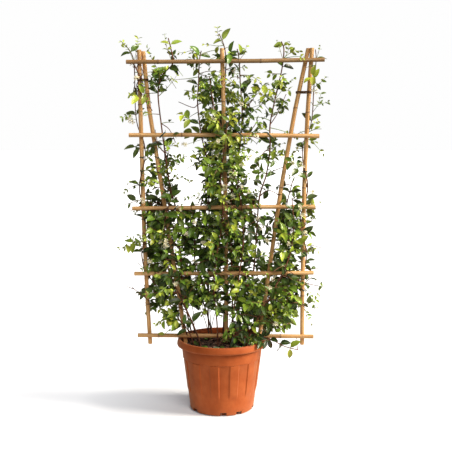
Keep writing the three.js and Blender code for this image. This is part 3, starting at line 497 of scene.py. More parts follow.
# From the photo's viewpoint the canes show through the front of the plant
VIEWPOINT = np.array((13.8, -2786, 939))
FRONT_SHARE = 0.62
BARE_CANE_SHARE = 0.1
BARE_CANE_HALF = 15
FLAT = (1, 0, 1)


def front_thinning(point):
    """The share of extra leaves that stay at a point, for the canes behind it to show."""
    if point[1] > 4:
        return 1.0
    depth = (BAR_Y - VIEWPOINT[1]) / (point[1] - VIEWPOINT[1])
    seen = VIEWPOINT + (point - VIEWPOINT) * depth - (0, BAR_Y, 0)
    off = gaps(seen, CANE_STARTS * FLAT, CANE_ENDS * FLAT)
    if off[CANE_STARTS[:, 1] > point[1]].min() < BARE_CANE_HALF:
        return BARE_CANE_SHARE
    return FRONT_SHARE if point[1] < BAR_Y + 4 else 1.0


def turned(leaf, angle):
    """A leaf rolled about its own length."""
    root, direction, normal, length = leaf
    side = np.cross(normal, direction)
    return root, direction, normal * math.cos(angle) + side * math.sin(angle), length


def resized(leaf, length):
    """A leaf with another length."""
    return (*leaf[:3], length)


def youth_at(height):
    """How young the plant is at a height: 0 low down, 1 at the top."""
    return float(smooth(640, 960, height))


def wound(post, low, high, turns, phase, space=9.6):
    """A twig wound round an upright cane between two heights."""
    points, steps = [], int(8 * turns)
    for step in range(steps + 1):
        share = step / steps
        z = mix(low, high, share)
        angle = phase + share * turns * math.tau
        x = on_line(UPRIGHTS[post], 2, z)[0]
        points.append((x + space * math.cos(angle), space * math.sin(angle), z))
    return points


# What a stem carries besides its shoots. Twigs and the thicker vines are bare and brown, sprigs
# thin with tiny pale leaves, branches carry full leaves
BRANCHES = {
    "left_post": [
        ("sprig", [(-283, -4, 1146), (-272, -7, 1190), (-268, -6, 1224)]),
        ("sprig", [(-283, -4, 1146), (-300, -7, 1186), (-322, -6, 1212)]),
        ("sprig", [(-280, 0, 985), (-302, -8, 978), (-325, -9, 966)]),
        ("sprig", [(-262, -11, 752), (-285, -16, 762), (-310, -17, 752)]),
        ("sprig", [(-250, 11, 560), (-280, -12, 562), (-312, -18, 582)]),
        ("branch", [(-214, 24, 400), (-248, -2, 372), (-298, -8, 410)]),
        ("vine", [(-272, -11, 1070), (-252, -15, 1030), (-224, -17, 990)]),
        ("vine", [(-284, -4, 1140), (-268, -22, 1112), (-254, -8, 1078), (-264, 12, 1050)]),
        ("twig", wound("post_left", 1012, 1182, 2.2, 0.4)),
        ("twig", wound("post_left", 1060, 1168, 1.2, 2.6, 10.4)),
        ("sprig", [(-266, 10, 1120), (-256, -14, 1070), (-232, -16, 1016)]),
    ],
    "left_inner": [
        ("sprig", [(-170, -4.6, 745), (-158, -9, 775), (-126, -10, 773), (-100, -8, 760)]),
        ("sprig", [(-158, -4.4, 1142), (-176, -6, 1190), (-184, -5, 1236)]),
        ("sprig", [(-192, -4.6, 1103), (-222, -8, 1150), (-240, -7, 1196)]),
        ("branch", [(-184, -4.6, 850), (-206, -12, 880), (-216, -14, 930)]),
        ("branch", [(-197, -4.6, 950), (-170, -10, 930), (-150, -12, 888)]),
    ],
    "centre_left": [
        ("twig", [(-78, -4.6, 1010), (-94, -6, 1001), (-140, -8, 1019)]),
        ("sprig", [(-42, -4.6, 677), (-80, -12, 712), (-122, -14, 706)]),
        ("sprig", [(-72, -4.6, 1149), (-90, -7, 1168), (-104, -6, 1192)]),
    ],
    "centre_right": [
        ("branch", [(66, -4.6, 990), (96, -9, 1020), (122, -10, 1066)]),
        ("branch", [(63, -4.6, 905), (92, -9, 925), (118, -9, 960)]),
        ("sprig", [(56, -4.4, 1151), (74, -7, 1176), (80, -6, 1200)]),
    ],
    "tallest": [("sprig", [(8, 4, 1196), (-10, -3, 1226), (-14, -3, 1258)])],
    "right_inner": [
        ("twig", [(146, -4.6, 785), (172, -8, 797), (202, -9, 809)]),
        ("sprig", [(198, -4.4, 1150), (186, -6, 1190), (176, -6, 1216)]),
        ("sprig", [(198, -4.4, 1150), (214, -6, 1184), (217, -6, 1213)]),
        ("branch", [(124, -4.6, 712), (153, -9, 732), (190, -12, 716)]),
        ("branch", [(157, -4.6, 945), (182, -9, 985), (208, -10, 1044)]),
        ("branch", [(157, -4.6, 870), (132, -9, 850), (112, -10, 806)]),
        ("sprig", [(172, -4.6, 1025), (206, -8, 1070), (236, -10, 1096)]),
    ],
    "right_post": [
        ("sprig", [(304, -4, 1151), (312, -6, 1180), (317, -6, 1200)]),
        ("sprig", [(298, -3, 1065), (318, -8, 1080), (338, -8, 1100)]),
        ("branch", [(254, 19, 430), (292, -4, 420), (326, -14, 414)]),
        ("sprig", [(254, 19, 430), (292, -6, 384), (312, -12, 340)]),
        ("sprig", [(226, 24, 400), (270, 6, 340), (303, -8, 284)]),
        ("sprig", [(295, 0, 985), (312, -8, 1012), (322, -8, 1050)]),
    ],
    "right_front": [
        ("branch", [(132, -54, 340), (180, -54, 330), (236, -46, 296)]),
        ("branch", [(176, -46, 420), (226, -42, 392), (276, -36, 346)]),
        ("branch", [(132, -54, 340), (168, -60, 304), (196, -60, 268)]),
    ],
    "right_back": [
        ("branch", [(108, 62, 270), (172, 52, 296), (242, 38, 284)]),
        ("branch", [(160, 58, 350), (226, 46, 356), (284, 30, 322)]),
        ("branch", [(108, 62, 270), (140, 66, 300), (176, 60, 268)]),
    ],
    "left_back": [
        ("branch", [(-160, 56, 390), (-200, 46, 420), (-240, 34, 404)]),
        ("branch", [(-204, 46, 490), (-236, 36, 500), (-262, 22, 470)]),
        ("twig", [(-100, 36, 219), (-130, 52, 300), (-164, 56, 362)]),
        ("twig", [(-96, 44, 219), (-96, 56, 300), (-112, 58, 372)]),
    ],
    "back_column": [
        ("twig", [(-41, 56, 219), (-58, 52, 284), (-84, 44, 352)]),
        ("twig", [(-40, 58, 219), (-32, 52, 276), (-14, 44, 344)]),
        ("twig", [(-36, 60, 219), (-40, 54, 300), (-50, 48, 372)]),
    ],
    "left_front": [
        ("twig", [(-104, -10, 219), (-128, -30, 286), (-150, -44, 352)]),
        ("branch", [(-184, -34, 640), (-214, -38, 610), (-238, -36, 568)]),
        ("branch", [(-160, -44, 440), (-196, -44, 424), (-232, -40, 398)]),
    ],
    "front_column": [
        ("branch", [(-14, -38, 232), (8, -58, 252), (38, -60, 266), (66, -62, 248)]),
        ("twig", [(-12, -37, 222), (16, -64, 240), (46, -62, 264)]),
    ],
    "front_right_column": [
        ("branch", [(34, -42, 300), (64, -54, 300), (92, -58, 276)]),
        ("branch", [(52, -44, 430), (92, -50, 420), (128, -52, 380)]),
        ("branch", [(34, -42, 290), (62, -74, 268), (88, -92, 246)]),
        ("branch", [(33, -41, 280), (12, -70, 262), (-4, -88, 243)]),
    ],
    "left_low": [("branch", [(-118, -46, 284), (-140, -56, 286), (-166, -58, 272)])],
}
BRANCH_RADII = dict(branch=1.5, twig=1.5, vine=2.1)
SPRIG_RADII = (0.95, 0.5)
SHOOT_RADII = (1.35, 0.75)
TIP_RADII = (0.7, 0.45)
# Lengths in millimetres: extra leaves range from short to long, each low down and at the top
SHORT_LEAF = (20, 15)
LONG_LEAF = (40, 30)
SPRIG_LEAF = (9, 19)
TINY_LEAF = (8, 16)
TIP_LENGTH = (14, 34)
SPRIG_SPACING = 15
BRANCH_SPACING = 20
# Ages run from 0, lime, to 1, deep green
STEM_AGES = (0.55, 1.0)
YOUNG_AGES = (0.2, 0.5)
OLD_AGES = (0.62, 1.0)
SPRIG_AGES = (0.1, 0.45)
YOUNG_SHARE = 0.2
TIP_SHARE = 0.45
SPRIG_SHARE = 0.85
EXTRA_SHOOTS = 3
FEWER_SHOOTS = dict(left_low=1, right_trailing=0)
WOODY_BELOW = 760


class LeafyStem:
    """Grows one stem: rods are (points, radii, is woody), leaves (place, age, shape, chance)."""

    def __init__(self, name):
        self.name, self.stem = name, STEMS[name]
        self.route = Route(self.stem.points)
        self.solid = SolidPoints(f"leafy_stem_{name}")
        self.rng = np.random.default_rng(self.stem.seed)
        self.rods, self.leaves = [], []
        self.add_rod(self.route, 7 * self.route.spans + 1, self.stem.radius, True, knobs=0.07)
        for plan in stem_plans(self.stem):
            self.grow_pair(plan)
            self.grow_shoot(self.route, plan)
            for extra in range(FEWER_SHOOTS.get(name, EXTRA_SHOOTS)):
                self.grow_shoot(self.route, self.extra_plan(plan, extra))
        for kind, points in BRANCHES.get(name, []):
            self.grow_branch(kind, Route(points))

    def add_rod(self, route, count, radii, is_woody, end=1, knobs=0):
        """A round rod along a route, thinning from one radius to the other."""
        shares = np.linspace(0, end, count)
        thick = [mix(*radii, s / end) * (1 + knobs * math.sin(37 * s)) for s in shares]
        self.rods.append(([route.at(s) for s in shares], thick, is_woody))

    def add_leaf(self, leaf, age):
        """Keeps a leaf. The trailing stem has young leaves at its end, as the plant has on top."""
        chance = self.rng.random()
        if self.name == "right_trailing":
            age = 0.95 if leaf[0][0] < 190 else 0.3 * chance
        age *= 1 - 0.75 * float(smooth(1165, 1205, leaf[0][2]))
        shape = int(chance * len(LEAF_VARIANTS))
        self.leaves.append((leaf, float(np.clip(age, 0, 1)), shape, chance))

    def add_extra_leaf(self, leaf_at, length, age):
        """A leaf that the solids leave out: swung until it is clear of canes, pot and soil."""
        for swing_turn in LEAF_SWINGS:
            leaf = turned(resized(leaf_at(swing_turn), length), self.rng.uniform(-0.7, 0.7))
            if leaf_is_clear(leaf):
                middle = leaf[0] + 0.55 * length * leaf[1]
                if self.rng.random() <= 1.15 * fullness(middle) * front_thinning(middle):
                    self.add_leaf(leaf, age)
                return

    def grow_leaf(self, leaf_at, is_in_solids, age, share, height, size=1.0):
        """A leaf: the solids' own one where they have it, or else an extra one by chance."""
        leaf = self.solid.leaf(leaf_at) if is_in_solids else None
        if leaf is not None:
            self.add_leaf(leaf, age)
        elif self.rng.random() < share:
            youth = youth_at(height)
            length = mix(mix(*SHORT_LEAF, youth), mix(*LONG_LEAF, youth), self.rng.random())
            self.add_extra_leaf(leaf_at, length * size, age)

    def grow_pair(self, plan):
        """The pair of leaves at a slot of the stem."""
        place = self.route.at(plan.along)
        for member in (0, 1):
            leaf_at = functools.partial(stem_leaf, self.route, plan, member)
            age = self.rng.uniform(*STEM_AGES)
            is_in_solids = plan.slot % PAIR_SLOT == 0
            self.grow_leaf(leaf_at, is_in_solids, age, fullness(place), place[2])

    def loose_leaf(self, route, along, member, turn, lean):
        """A leaf with a lean and roll of its own."""
        chances = (0, 0.5, self.rng.random() * lean, self.rng.random())
        return leaf_place(route, along, chances, member, turn)

    def grow_tip(self, shoot, age):
        """The soft end of a shoot: a thin tip with two pairs of tiny young leaves."""
        rng = self.rng
        if rng.random() > TIP_SHARE:
            return
        start, tangent = shoot.at(0.96), shoot.tangent(0.95)
        length = rng.uniform(*TIP_LENGTH)
        bend = unit(rng.normal(size=3)) * 0.45
        bend[1] *= 0.5
        middle, end = start + tangent * length * 0.5, start + (tangent + bend * 0.5) * length
        tip = Route([start, middle, end])
        ends = [tip.at(1), tip.at(0.5)]
        if near_canes(ends, TIP_CLEARANCE) or in_pot(ends[:1]) or not in_reach(ends[:1], 6):
            return
        self.add_rod(tip, 8, TIP_RADII, False)
        for along, size in ((0.4, 0.9), (1.0, 0.5)):
            turn = rng.uniform(0, math.tau)
            for member in (0, 1):
                leaf = self.loose_leaf(tip, along, member, turn, 0.5)
                leaf = resized(leaf, mix(*TINY_LEAF, size) * rng.uniform(0.8, 1.15))
                self.add_leaf(turned(leaf, rng.uniform(-0.8, 0.8)), age * 0.35)

    def solid_shoot(self, trials):
        """The one of a shoot's possible routes that the solids follow, or None."""
        for trial in trials:
            off_end, off_middle = (self.solid.distance(trial.at(share)) for share in (0.96, 0.6))
            if off_end < 1.7 and off_middle < 1.9:
                return trial
        return None

    def free_shoot(self, trials):
        """The first of a shoot's possible routes that is clear, where the plant is full there."""
        for trial in trials:
            samples = [trial.at(share) for share in (0.35, 0.5, 0.7, 0.85, 1)]
            if not near_canes(samples) and not in_pot(samples) and in_reach(samples, 8):
                return trial if self.rng.random() < fullness(trial.at(0.7)) else None
        return None

    def grow_shoot(self, parent, plan):
        """A shoot with its leaves: the solids' own one, or an extra one where it is full."""
        rng = self.rng
        trials = [shoot_route(parent, plan, turn) for turn in SHOOT_TURNS]
        route = self.solid_shoot(trials) if plan.slot % SHOOT_SLOT == FIRST_SHOOT else None
        is_solid = route is not None
        route = route or self.free_shoot(trials)
        if route is None:
            return
        height = route.at(0)[2]
        is_young = rng.random() < YOUNG_SHARE + 0.35 * youth_at(height) or self.name == "left_low"
        base_age = rng.uniform(*(YOUNG_AGES if is_young else OLD_AGES))
        self.add_rod(route, 8, SHOOT_RADII, base_age > 0.6 and height < WOODY_BELOW, 0.97)
        for station, along in enumerate(LEAF_STATIONS):
            age = base_age - 0.08 * station + rng.uniform(-0.1, 0.1)
            share, size = 0.35 + 0.6 * fullness(route.at(along)), 1.12 - 0.09 * station
            for member in (0, 1):
                leaf_at = functools.partial(shoot_leaf, route, plan, station, member)
                is_in_solids = is_solid and station in SOLID_STATIONS
                self.grow_leaf(leaf_at, is_in_solids, age, share, height, size)
        self.grow_tip(route, base_age)

    def extra_plan(self, plan, extra):
        """A shoot of this script's own beside a slot's first one."""
        rng, stem = self.rng, self.stem
        spacing = (1 - stem.bare) / stem.slots
        along = min(plan.along + spacing * (extra + 1) / (EXTRA_SHOOTS + 1) - spacing / 2, 0.995)
        turn = plan.turn + (extra + 1) * GOLDEN_ANGLE
        rise = rng.uniform(-0.3, 0.8)
        reach = mix(*stem.reach, along) * rng.uniform(0.55, 1.2)
        return Plan(0, along, turn, rise, reach, rng.uniform(-0.6, 0.25), leaf_chances(rng.random))

    def grow_branch(self, kind, route):
        """One branch, sprig, twig or vine, with what it carries."""
        rng = self.rng
        length = sum(math.dist(route.at(a / 20), route.at((a + 1) / 20)) for a in range(20))
        count = 6 * route.spans + 1
        if kind == "sprig":
            self.add_rod(route, count, SPRIG_RADII, False)
            pairs = max(3, int(length / SPRIG_SPACING))
            for pair in range(pairs):
                along = 0.25 + 0.75 * (pair + 0.5) / pairs
                turn = rng.uniform(0, math.tau)
                for member in (0, 1):
                    leaf = self.loose_leaf(route, along, member, turn, 0.6)
                    leaf = resized(leaf, rng.uniform(*SPRIG_LEAF))
                    if rng.random() < SPRIG_SHARE and leaf_is_clear(leaf):
                        leaf = turned(leaf, rng.uniform(-0.9, 0.9))
                        self.add_leaf(leaf, rng.uniform(*SPRIG_AGES))
            return
        thick = BRANCH_RADII[kind]
        self.add_rod(route, count, (thick, thick * 0.7), True)
        shoots = int(length / BRANCH_SPACING) if kind == "branch" else 0
        for shoot in range(shoots):
            along = 0.2 + 0.8 * (shoot + 0.5) / shoots
            turn = shoot * GOLDEN_ANGLE + rng.random()
            rise, reach, curl = rng.uniform(-0.5, 0.6), rng.uniform(28, 52), rng.uniform(-0.7, 0.2)
            plan = Plan(0, along, turn, rise, reach, curl, leaf_chances(rng.random))
            self.grow_shoot(route, plan)


def linear(hex_colour):
    """An sRGB hex colour as the linear colour that shaders and colour settings take."""
    channels = [int(hex_colour[i : i + 2], 16) / 255 for i in (1, 3, 5)]
    bent = [c / 12.92 if c <= 0.04045 else ((c + 0.055) / 1.055) ** 2.4 for c in channels]
    return (*bent, 1.0)


def grey(value):
    """A grey that is already linear."""
    return (value, value, value, 1)


def add_node(tree, kind, *values, give=None, stops=(), **named):
    """Adds one shader node and gives back one of its outputs: the first in use, or as named.

    Values fill the inputs in use in their order. A keyword with a capital is an input by name,
    with _ for a space, and any other is a setting. An input takes a value or another's output.
    """
    made = tree.nodes.new("ShaderNode" + kind)
    inputs = {name: value for name, value in named.items() if name[0].isupper()}
    for name in named.keys() - inputs.keys():
        setattr(made, name, named[name])
    pairs = list(zip([socket for socket in made.inputs if socket.enabled], values))
    pairs += [(made.inputs[name.replace("_", " ")], value) for name, value in inputs.items()]
    for socket, value in pairs:
        if isinstance(value, bpy.types.NodeSocket):
            tree.links.new(value, socket)
        else:
            socket.default_value = value
    for index, (position, colour) in enumerate(stops):
        elements = made.color_ramp.elements
        element = elements[index] if index < len(elements) else elements.new(position)
        element.position, element.color = position, colour
    if give:
        return made.outputs[give]
    return next((socket for socket in made.outputs if socket.enabled), None)


def open_nodes(owner):
    """Empties a material's or world's nodes, and gives the function that adds to them."""
    owner.use_nodes = True
    owner.node_tree.nodes.clear()
    return functools.partial(add_node, owner.node_tree)


def new_material(name):
    """An empty node material, and the function that adds its nodes."""
    material = bpy.data.materials.new(name)
    return material, open_nodes(material)


def moulded_plastic(look):
    """Matt terracotta polypropylene, injection moulded.

    It gives the eye an even warm colour with a faint cloudiness, a satin sheen on the flute edges
    and the rim, fine mould texture, and paler scuffs and a little soil dust.
    """
    material, add = new_material("moulded_terracotta_polypropylene")
    place = add("TexCoord", give="Object")
    clouds = add("TexNoise", place, 1 / 0.045, 4, 0.6)
    base = add("ValToRGB", clouds, stops=[(0.3, look.shade), (0.55, look.main), (0.75, look.light)])
    rubbed = add("Mapping", place, Scale=(1 / 0.030, 1 / 0.030, 1 / 0.006))
    scuffs = add("TexNoise", rubbed, 1, 8, 0.75)
    scuff_share = add("ValToRGB", scuffs, stops=[(0.62, grey(0)), (0.78, grey(0.35))])
    worn = add("Mix", scuff_share, base, look.worn, data_type="RGBA")
    low = add("MapRange", add("SeparateXYZ", place, give="Z"), 0, 0.035, 0.45, 0)
    dust = add("Math", low, add("TexNoise", place, 1 / 0.008, 6), operation="MULTIPLY")
    dusty = add("Mix", dust, worn, look.dust, data_type="RGBA")
    # Mould texture is about 0.4 mm in fact, drawn at 1.2 mm so that it shows
    skin = add("TexNoise", place, 1 / 0.0012, 2)
    fine = add("Bump", Height=skin, Strength=0.12, Distance=0.0003)
    waves = add("TexNoise", place, 1 / 0.02, 2)
    add("OutputMaterial", add(
        "BsdfPrincipled", Base_Color=dusty, Roughness=add("MapRange", scuffs, 0.3, 0.8, 0.42, 0.62),
        Normal=add("Bump", Height=waves, Strength=0.15, Distance=0.002, Normal=fine),
        IOR=1.49, Specular_IOR_Level=0.12, Sheen_Weight=0.34, Sheen_Roughness=0.5,
        Sheen_Tint=look.sheen,
    ))
    return material


def potting_mix(look):
    """Bark potting compost: peat crumb with perlite dust, pressed by watering.

    It gives the eye a near-black, matt, crumbly ground with tan and pinkish specks.
    """
    material, add = new_material("bark_potting_compost")
    place = add("TexCoord", give="Object")
    # Crumbs are 1 to 4 mm, drawn at 5 mm, with 25 mm damp patches
    crumbs = add("TexVoronoi", place, 1 / 0.005)
    tint = add("SeparateColor", crumbs.node.outputs["Color"])
    ground = add("ValToRGB", tint, stops=[
        (0, look.dark), (0.6, look.main), (0.86, look.light), (0.95, look.speck),
    ])
    damp = add("Mix", add("TexNoise", place, 1 / 0.025, 5), ground, look.dark, data_type="RGBA")
    grit = add("TexNoise", place, 1 / 0.0025, 4)
    fine = add("Bump", Height=grit, Strength=0.7, Distance=0.001)
    add("OutputMaterial", add(
        "BsdfPrincipled", Base_Color=damp, Roughness=0.92, Specular_IOR_Level=0.25,
        Normal=add("Bump", Height=crumbs, Strength=0.9, Distance=0.003, Normal=fine, invert=True),
    ))
    return material


def bark_chip(look):
    """Composted pine bark, split into flakes.

    It gives the eye dull tan to red-brown flakes, streaked along the grain, matt and rough.
    """
    material, add = new_material("composted_pine_bark")
    tone = add("ValToRGB", add("Attribute", give="Fac", attribute_name="chance"), stops=[
        (0, look.bark_dark), (0.45, look.bark), (0.8, look.bark_red), (1, look.bark_pale),
    ])
    # Growth layers in bark are 0.5 mm apart, drawn at 1 mm across and 5 mm along
    grain = add("Mapping", add("TexCoord", give="Object"), Scale=(1 / 0.005, 1 / 0.001, 1 / 0.001))
    layers = add("TexNoise", grain, 1, 5)
    add("OutputMaterial", add(
        "BsdfPrincipled", Base_Color=add("Mix", layers, tone, look.bark_dark, data_type="RGBA"),
        Normal=add("Bump", Height=layers, Strength=0.6, Distance=0.0008), Roughness=0.88,
    ))
    return material


def bamboo(look):
    """Tonkin bamboo cane: dried, straightened over heat, its waxy skin left on.

    It gives the eye a pale straw skin with fine fibres along it, darker and redder patches, brown
    scars at the joints and a low waxy sheen. The cane attribute holds millimetres along the cane,
    the turn round it, and a number of its own for each cane; ring marks the joints and the ends,
    and tone how pale each cane is drawn.
    """
    material, add = new_material("dried_tonkin_bamboo")
    cane = add("Attribute", give="Vector", attribute_name="cane")
    ring = add("Attribute", give="Fac", attribute_name="ring")
    tone = add("Attribute", give="Fac", attribute_name="tone")
    # Fibres are 0.3 mm apart, drawn at 1.5 mm round and 60 mm along
    fibres = add("TexNoise", add("Mapping", cane, Scale=(1 / 60, 26 / 6.28, 7.3)), 1, 5, 0.65)
    patches = add("TexNoise", add("Mapping", cane, Scale=(1 / 90, 2.2 / 6.28, 3.1)), 1, 4)
    spots = add("TexNoise", add("Mapping", cane, Scale=(1 / 7, 6 / 6.28, 9.7)), 1, 3)
    skin = add("ValToRGB", patches, stops=[
        (0.3, look.red), (0.47, look.main), (0.6, look.pale), (0.75, look.main),
    ])
    streaks = add("ValToRGB", fibres, stops=[(0.38, grey(0.55)), (0.55, grey(0))])
    streaked = add("Mix", streaks, skin, look.streak, data_type="RGBA")
    spot_share = add("ValToRGB", spots, stops=[(0.62, grey(0)), (0.72, grey(0.6))])
    spotted = add("Mix", spot_share, streaked, look.scar, data_type="RGBA")
    scarred = add("Mix", ring, spotted, look.scar, data_type="RGBA")
    add("OutputMaterial", add(
        "BsdfPrincipled", Base_Color=add("HueSaturation", Color=scarred, Value=tone),
        Roughness=add("MapRange", fibres, 0.3, 0.7, 0.5, 0.38),
        Normal=add("Bump", Height=fibres, Strength=0.35, Distance=0.0004),
    ))
    return material


def galvanised_wire(look):
    """Galvanised steel wire, drawn and cut.

    It gives the eye a dull grey metal with a fine mottled zinc bloom.
    """
    material, add = new_material("galvanised_steel_wire")
    bloom = add("TexNoise", add("TexCoord", give="Object"), 1 / 0.0015, 3)
    zinc = add("ValToRGB", bloom, stops=[(0.35, look.zinc_dark), (0.65, look.zinc_light)])
    shader = add("BsdfPrincipled", Base_Color=zinc, Metallic=1, Roughness=0.42)
    add("OutputMaterial", shader)
    return material


def tie_plastic(look):
    """Garden twist tie: soft PVC ribbon over a wire, extruded.

    It gives the eye a dark green, slightly shiny ribbon, mottled with dirt.
    """
    material, add = new_material("extruded_pvc_plant_tie")
    dirt = add("TexNoise", add("TexCoord", give="Object"), 1 / 0.003, 4)
    tone = add("ValToRGB", dirt, stops=[(0.35, look.dark), (0.65, look.light)])
    bump = add("Bump", Height=dirt, Strength=0.3, Distance=0.0004)
    add("OutputMaterial", add("BsdfPrincipled", Base_Color=tone, Normal=bump, Roughness=0.4))
    return material


def jute_twine(look):
    """Jute twine, spun from two plies.

    It gives the eye a hairy brown cord with slanting plies and no shine.
    """
    material, add = new_material("spun_jute_twine")
    place = add("TexCoord", give="Object")
    # Plies lie 1.5 mm apart
    plies = add("TexWave", place, 1 / 0.0075, 3, 3, give="Fac", bands_direction="DIAGONAL")
    tone = add("ValToRGB", plies, stops=[(0.2, look.jute_dark), (0.8, look.jute_light)])
    bump = add("Bump", Height=plies, Strength=0.7, Distance=0.0006)
    add("OutputMaterial", add("BsdfPrincipled", Base_Color=tone, Normal=bump, Roughness=0.95))
    return material


def jasmine_bark(look):
    """Woody jasmine stem: thin brown bark with corky pores.

    It gives the eye a dark purple-brown, matt stem with paler flecks.
    """
    material, add = new_material("jasmine_bark")
    place = add("TexCoord", give="Object")
    # Pores are about 0.7 mm, drawn at 1.5 mm
    pores = add("TexNoise", place, 1 / 0.0015, 3)
    flecks = add("Math", pores, add("TexNoise", place, 1 / 0.03, 3), operation="ADD")
    tone = add("ValToRGB", add("Math", flecks, 0.5, operation="MULTIPLY"), stops=[
        (0.38, look.bark_dark), (0.52, look.bark), (0.66, look.bark_light),
    ])
    bump = add("Bump", Height=pores, Strength=0.5, Distance=0.0005)
    add("OutputMaterial", add("BsdfPrincipled", Base_Color=tone, Normal=bump, Roughness=0.75))
    return material


def green_shoot(look):
    """Young jasmine shoot: green skin with fine down.

    It gives the eye a soft yellow-green rod that turns reddish in places.
    """
    material, add = new_material("jasmine_green_shoot")
    blush = add("TexNoise", add("TexCoord", give="Object"), 1 / 0.04, 3)
    tone = add("ValToRGB", blush, stops=[
        (0.36, look.shoot_red), (0.5, look.shoot), (0.7, look.shoot_light),
    ])
    shader = add("BsdfPrincipled", Base_Color=tone, Roughness=0.5, Sheen_Weight=0.15)
    add("OutputMaterial", shader)
    return material


def jasmine_leaf(look):
    """Leathery evergreen jasmine leaf: a waxed skin over a folded blade.

    It gives the eye deep green old blades and lime young ones, glossy above and paler and matt
    beneath, with a pale midrib and faint side veins. The attributes are age, chance and
    underside, and a UV map has the share along and across.
    """
    material, add = new_material("waxy_jasmine_leaf")
    chance = add("Attribute", give="Fac", attribute_name="chance")
    under = add("Attribute", give="Fac", attribute_name="underside")
    aged = add("ValToRGB", add("Attribute", give="Fac", attribute_name="age"), stops=[
        (0, look.lime), (0.3, look.fresh), (0.6, look.green), (1, look.deep),
    ])
    hue, value = (add("MapRange", chance, 0, 1, *ends) for ends in ((0.485, 0.512), (0.72, 1.25)))
    own = add("HueSaturation", Color=aged, Hue=hue, Value=value)
    mottle = add("TexNoise", add("TexCoord", give="Object"), 1 / 0.012, 4)
    mottled = add("HueSaturation", Color=own, Value=add("MapRange", mottle, 0.3, 0.7, 0.85, 1.15))
    # Across runs from 0 to 1 with the midrib at 0.5
    along = add("SeparateXYZ", add("UVMap", uv_map="blade"))
    centred = add("Math", along.node.outputs["Y"], 0.5, operation="SUBTRACT")
    off = add("Math", centred, operation="ABSOLUTE")
    rib = add("MapRange", off, 0.012, 0.05, 0.55, 0)
    # Side veins lean towards the tip
    lean = add("Math", off, -0.45, operation="MULTIPLY")
    slanted = add("Math", along, lean, operation="ADD")
    saw = add("Math", add("Math", slanted, 9, operation="MULTIPLY"), 1, operation="PINGPONG")
    lines = add("Math", rib, add("MapRange", saw, 0, 0.14, 0.16, 0), operation="MAXIMUM")
    above = add("Mix", lines, mottled, look.rib, data_type="RGBA")
    beneath = add("Mix", 0.38, above, look.beneath, data_type="RGBA")
    add("OutputMaterial", add(
        "BsdfPrincipled", Base_Color=add("Mix", under, above, beneath, data_type="RGBA"),
        Roughness=add("MapRange", under, 0, 1, 0.3, 0.6), IOR=1.45,
        Normal=add("Bump", Height=lines, Strength=0.5, Distance=0.0006, invert=True),
    ))
    return material


def petal(look):
    """Star jasmine petal: thin, waxy, cream-white.

    It gives the eye a soft white with a creamy throat, faint mottling and little gloss.
    """
    material, add = new_material("waxy_jasmine_petal")
    throat = add("Attribute", give="Fac", attribute_name="throat")
    tone = add("Mix", throat, look.white, look.cream, data_type="RGBA")
    lines = add("TexNoise", add("TexCoord", give="Object"), 1 / 0.002, 3)
    soft = add("HueSaturation", Color=tone, Value=add("MapRange", lines, 0, 1, 0.9, 1.08))
    add("OutputMaterial", add("BsdfPrincipled", Base_Color=soft, Roughness=0.55))
    return material


FLOOR_BOUNCE = 0.26
BASE_SHADE = (BASE_RADIUS * MM, BASE_RADIUS * MM + 0.006)


def studio_paper(look):
    """Seamless studio paper, matt, with a painted glow that grows away from the pot.

    It gives the eye a plain pale floor with the faintest fibre in it and a soft shadow, paled
    further out by the painted glow.
    """
    material, add = new_material("matt_studio_paper")
    place = add("TexCoord", give="Object")
    seen = add("LightPath", give="Is Camera Ray")
    fibre = add("MapRange", add("TexNoise", place, 1 / 0.01, 2), 0, 1, 0.995, 1.005)
    tone = add("HueSaturation", Color=look.floor, Value=fibre)
    away = add("VectorMath", place, operation="LENGTH")
    # Painted glow, seen by the camera alone: it grows away from the pot and pales the shadow
    painted_glow = add("MapRange", away, 0.14, 0.5, 0.14, 0.46)
    # It looks pale, but further out it throws little light back up, as if it lay far below
    bounce = add("MapRange", away, 0.3, 0.9, 0.8, FLOOR_BOUNCE)
    # None of the painted glow is under the pot, so its drain notches stay dark
    shown = add("Math", add("MapRange", away, *BASE_SHADE), seen, operation="MULTIPLY")
    add("OutputMaterial", add(
        "BsdfPrincipled", Base_Color=add("Mix", seen, bounce, tone, data_type="RGBA"),
        Roughness=0.9, Specular_IOR_Level=0.1, Emission_Color=linear("#FFFFFF"),
        Emission_Strength=add("Math", painted_glow, shown, operation="MULTIPLY"),
    ))
    return material


# Modelling helpers: each drives Blender's own tools
def select_only(*pieces):
    """Selects nothing but these pieces and makes the first one active."""
    bpy.ops.object.select_all(action="DESELECT")
    for piece in pieces:
        piece.select_set(True)
    bpy.context.view_layer.objects.active = pieces[0]


def join(*pieces):
    """Joins pieces into the first one."""
    select_only(*pieces)
    bpy.ops.object.join()
    return bpy.context.active_object


def apply_place():
    """Puts the active object's place into its mesh."""
    bpy.ops.object.transform_apply(location=True, rotation=True, scale=True)
    return bpy.context.active_object


def begin(name, primitive, **settings):
    """Adds a primitive and puts its place into its mesh."""
    bpy.ops.object.select_all(action="DESELECT")
    primitive(**settings)
    piece = bpy.context.active_object
    piece.name = piece.data.name = name
    return apply_place()


def begin_disc(name, vertices, radius, **place):
    """Adds a disc in edit mode with its face picked, ready to be drawn out."""
    circle = bpy.ops.mesh.primitive_circle_add
    disc = begin(name, circle, vertices=vertices, radius=radius, fill_type="NGON", **place)
    open_mesh(disc, "FACE")
    pick(disc, lambda co: True, "faces")
    return disc


def open_mesh(piece, kind="VERT"):
    """Opens a piece in edit mode with nothing picked."""
    select_only(piece)
    bpy.ops.object.mode_set(mode="EDIT")
    bpy.ops.mesh.select_mode(type=kind)
    bpy.ops.mesh.select_all(action="DESELECT")


def close_mesh():
    """Leaves edit mode."""
    bpy.ops.object.mode_set(mode="OBJECT")


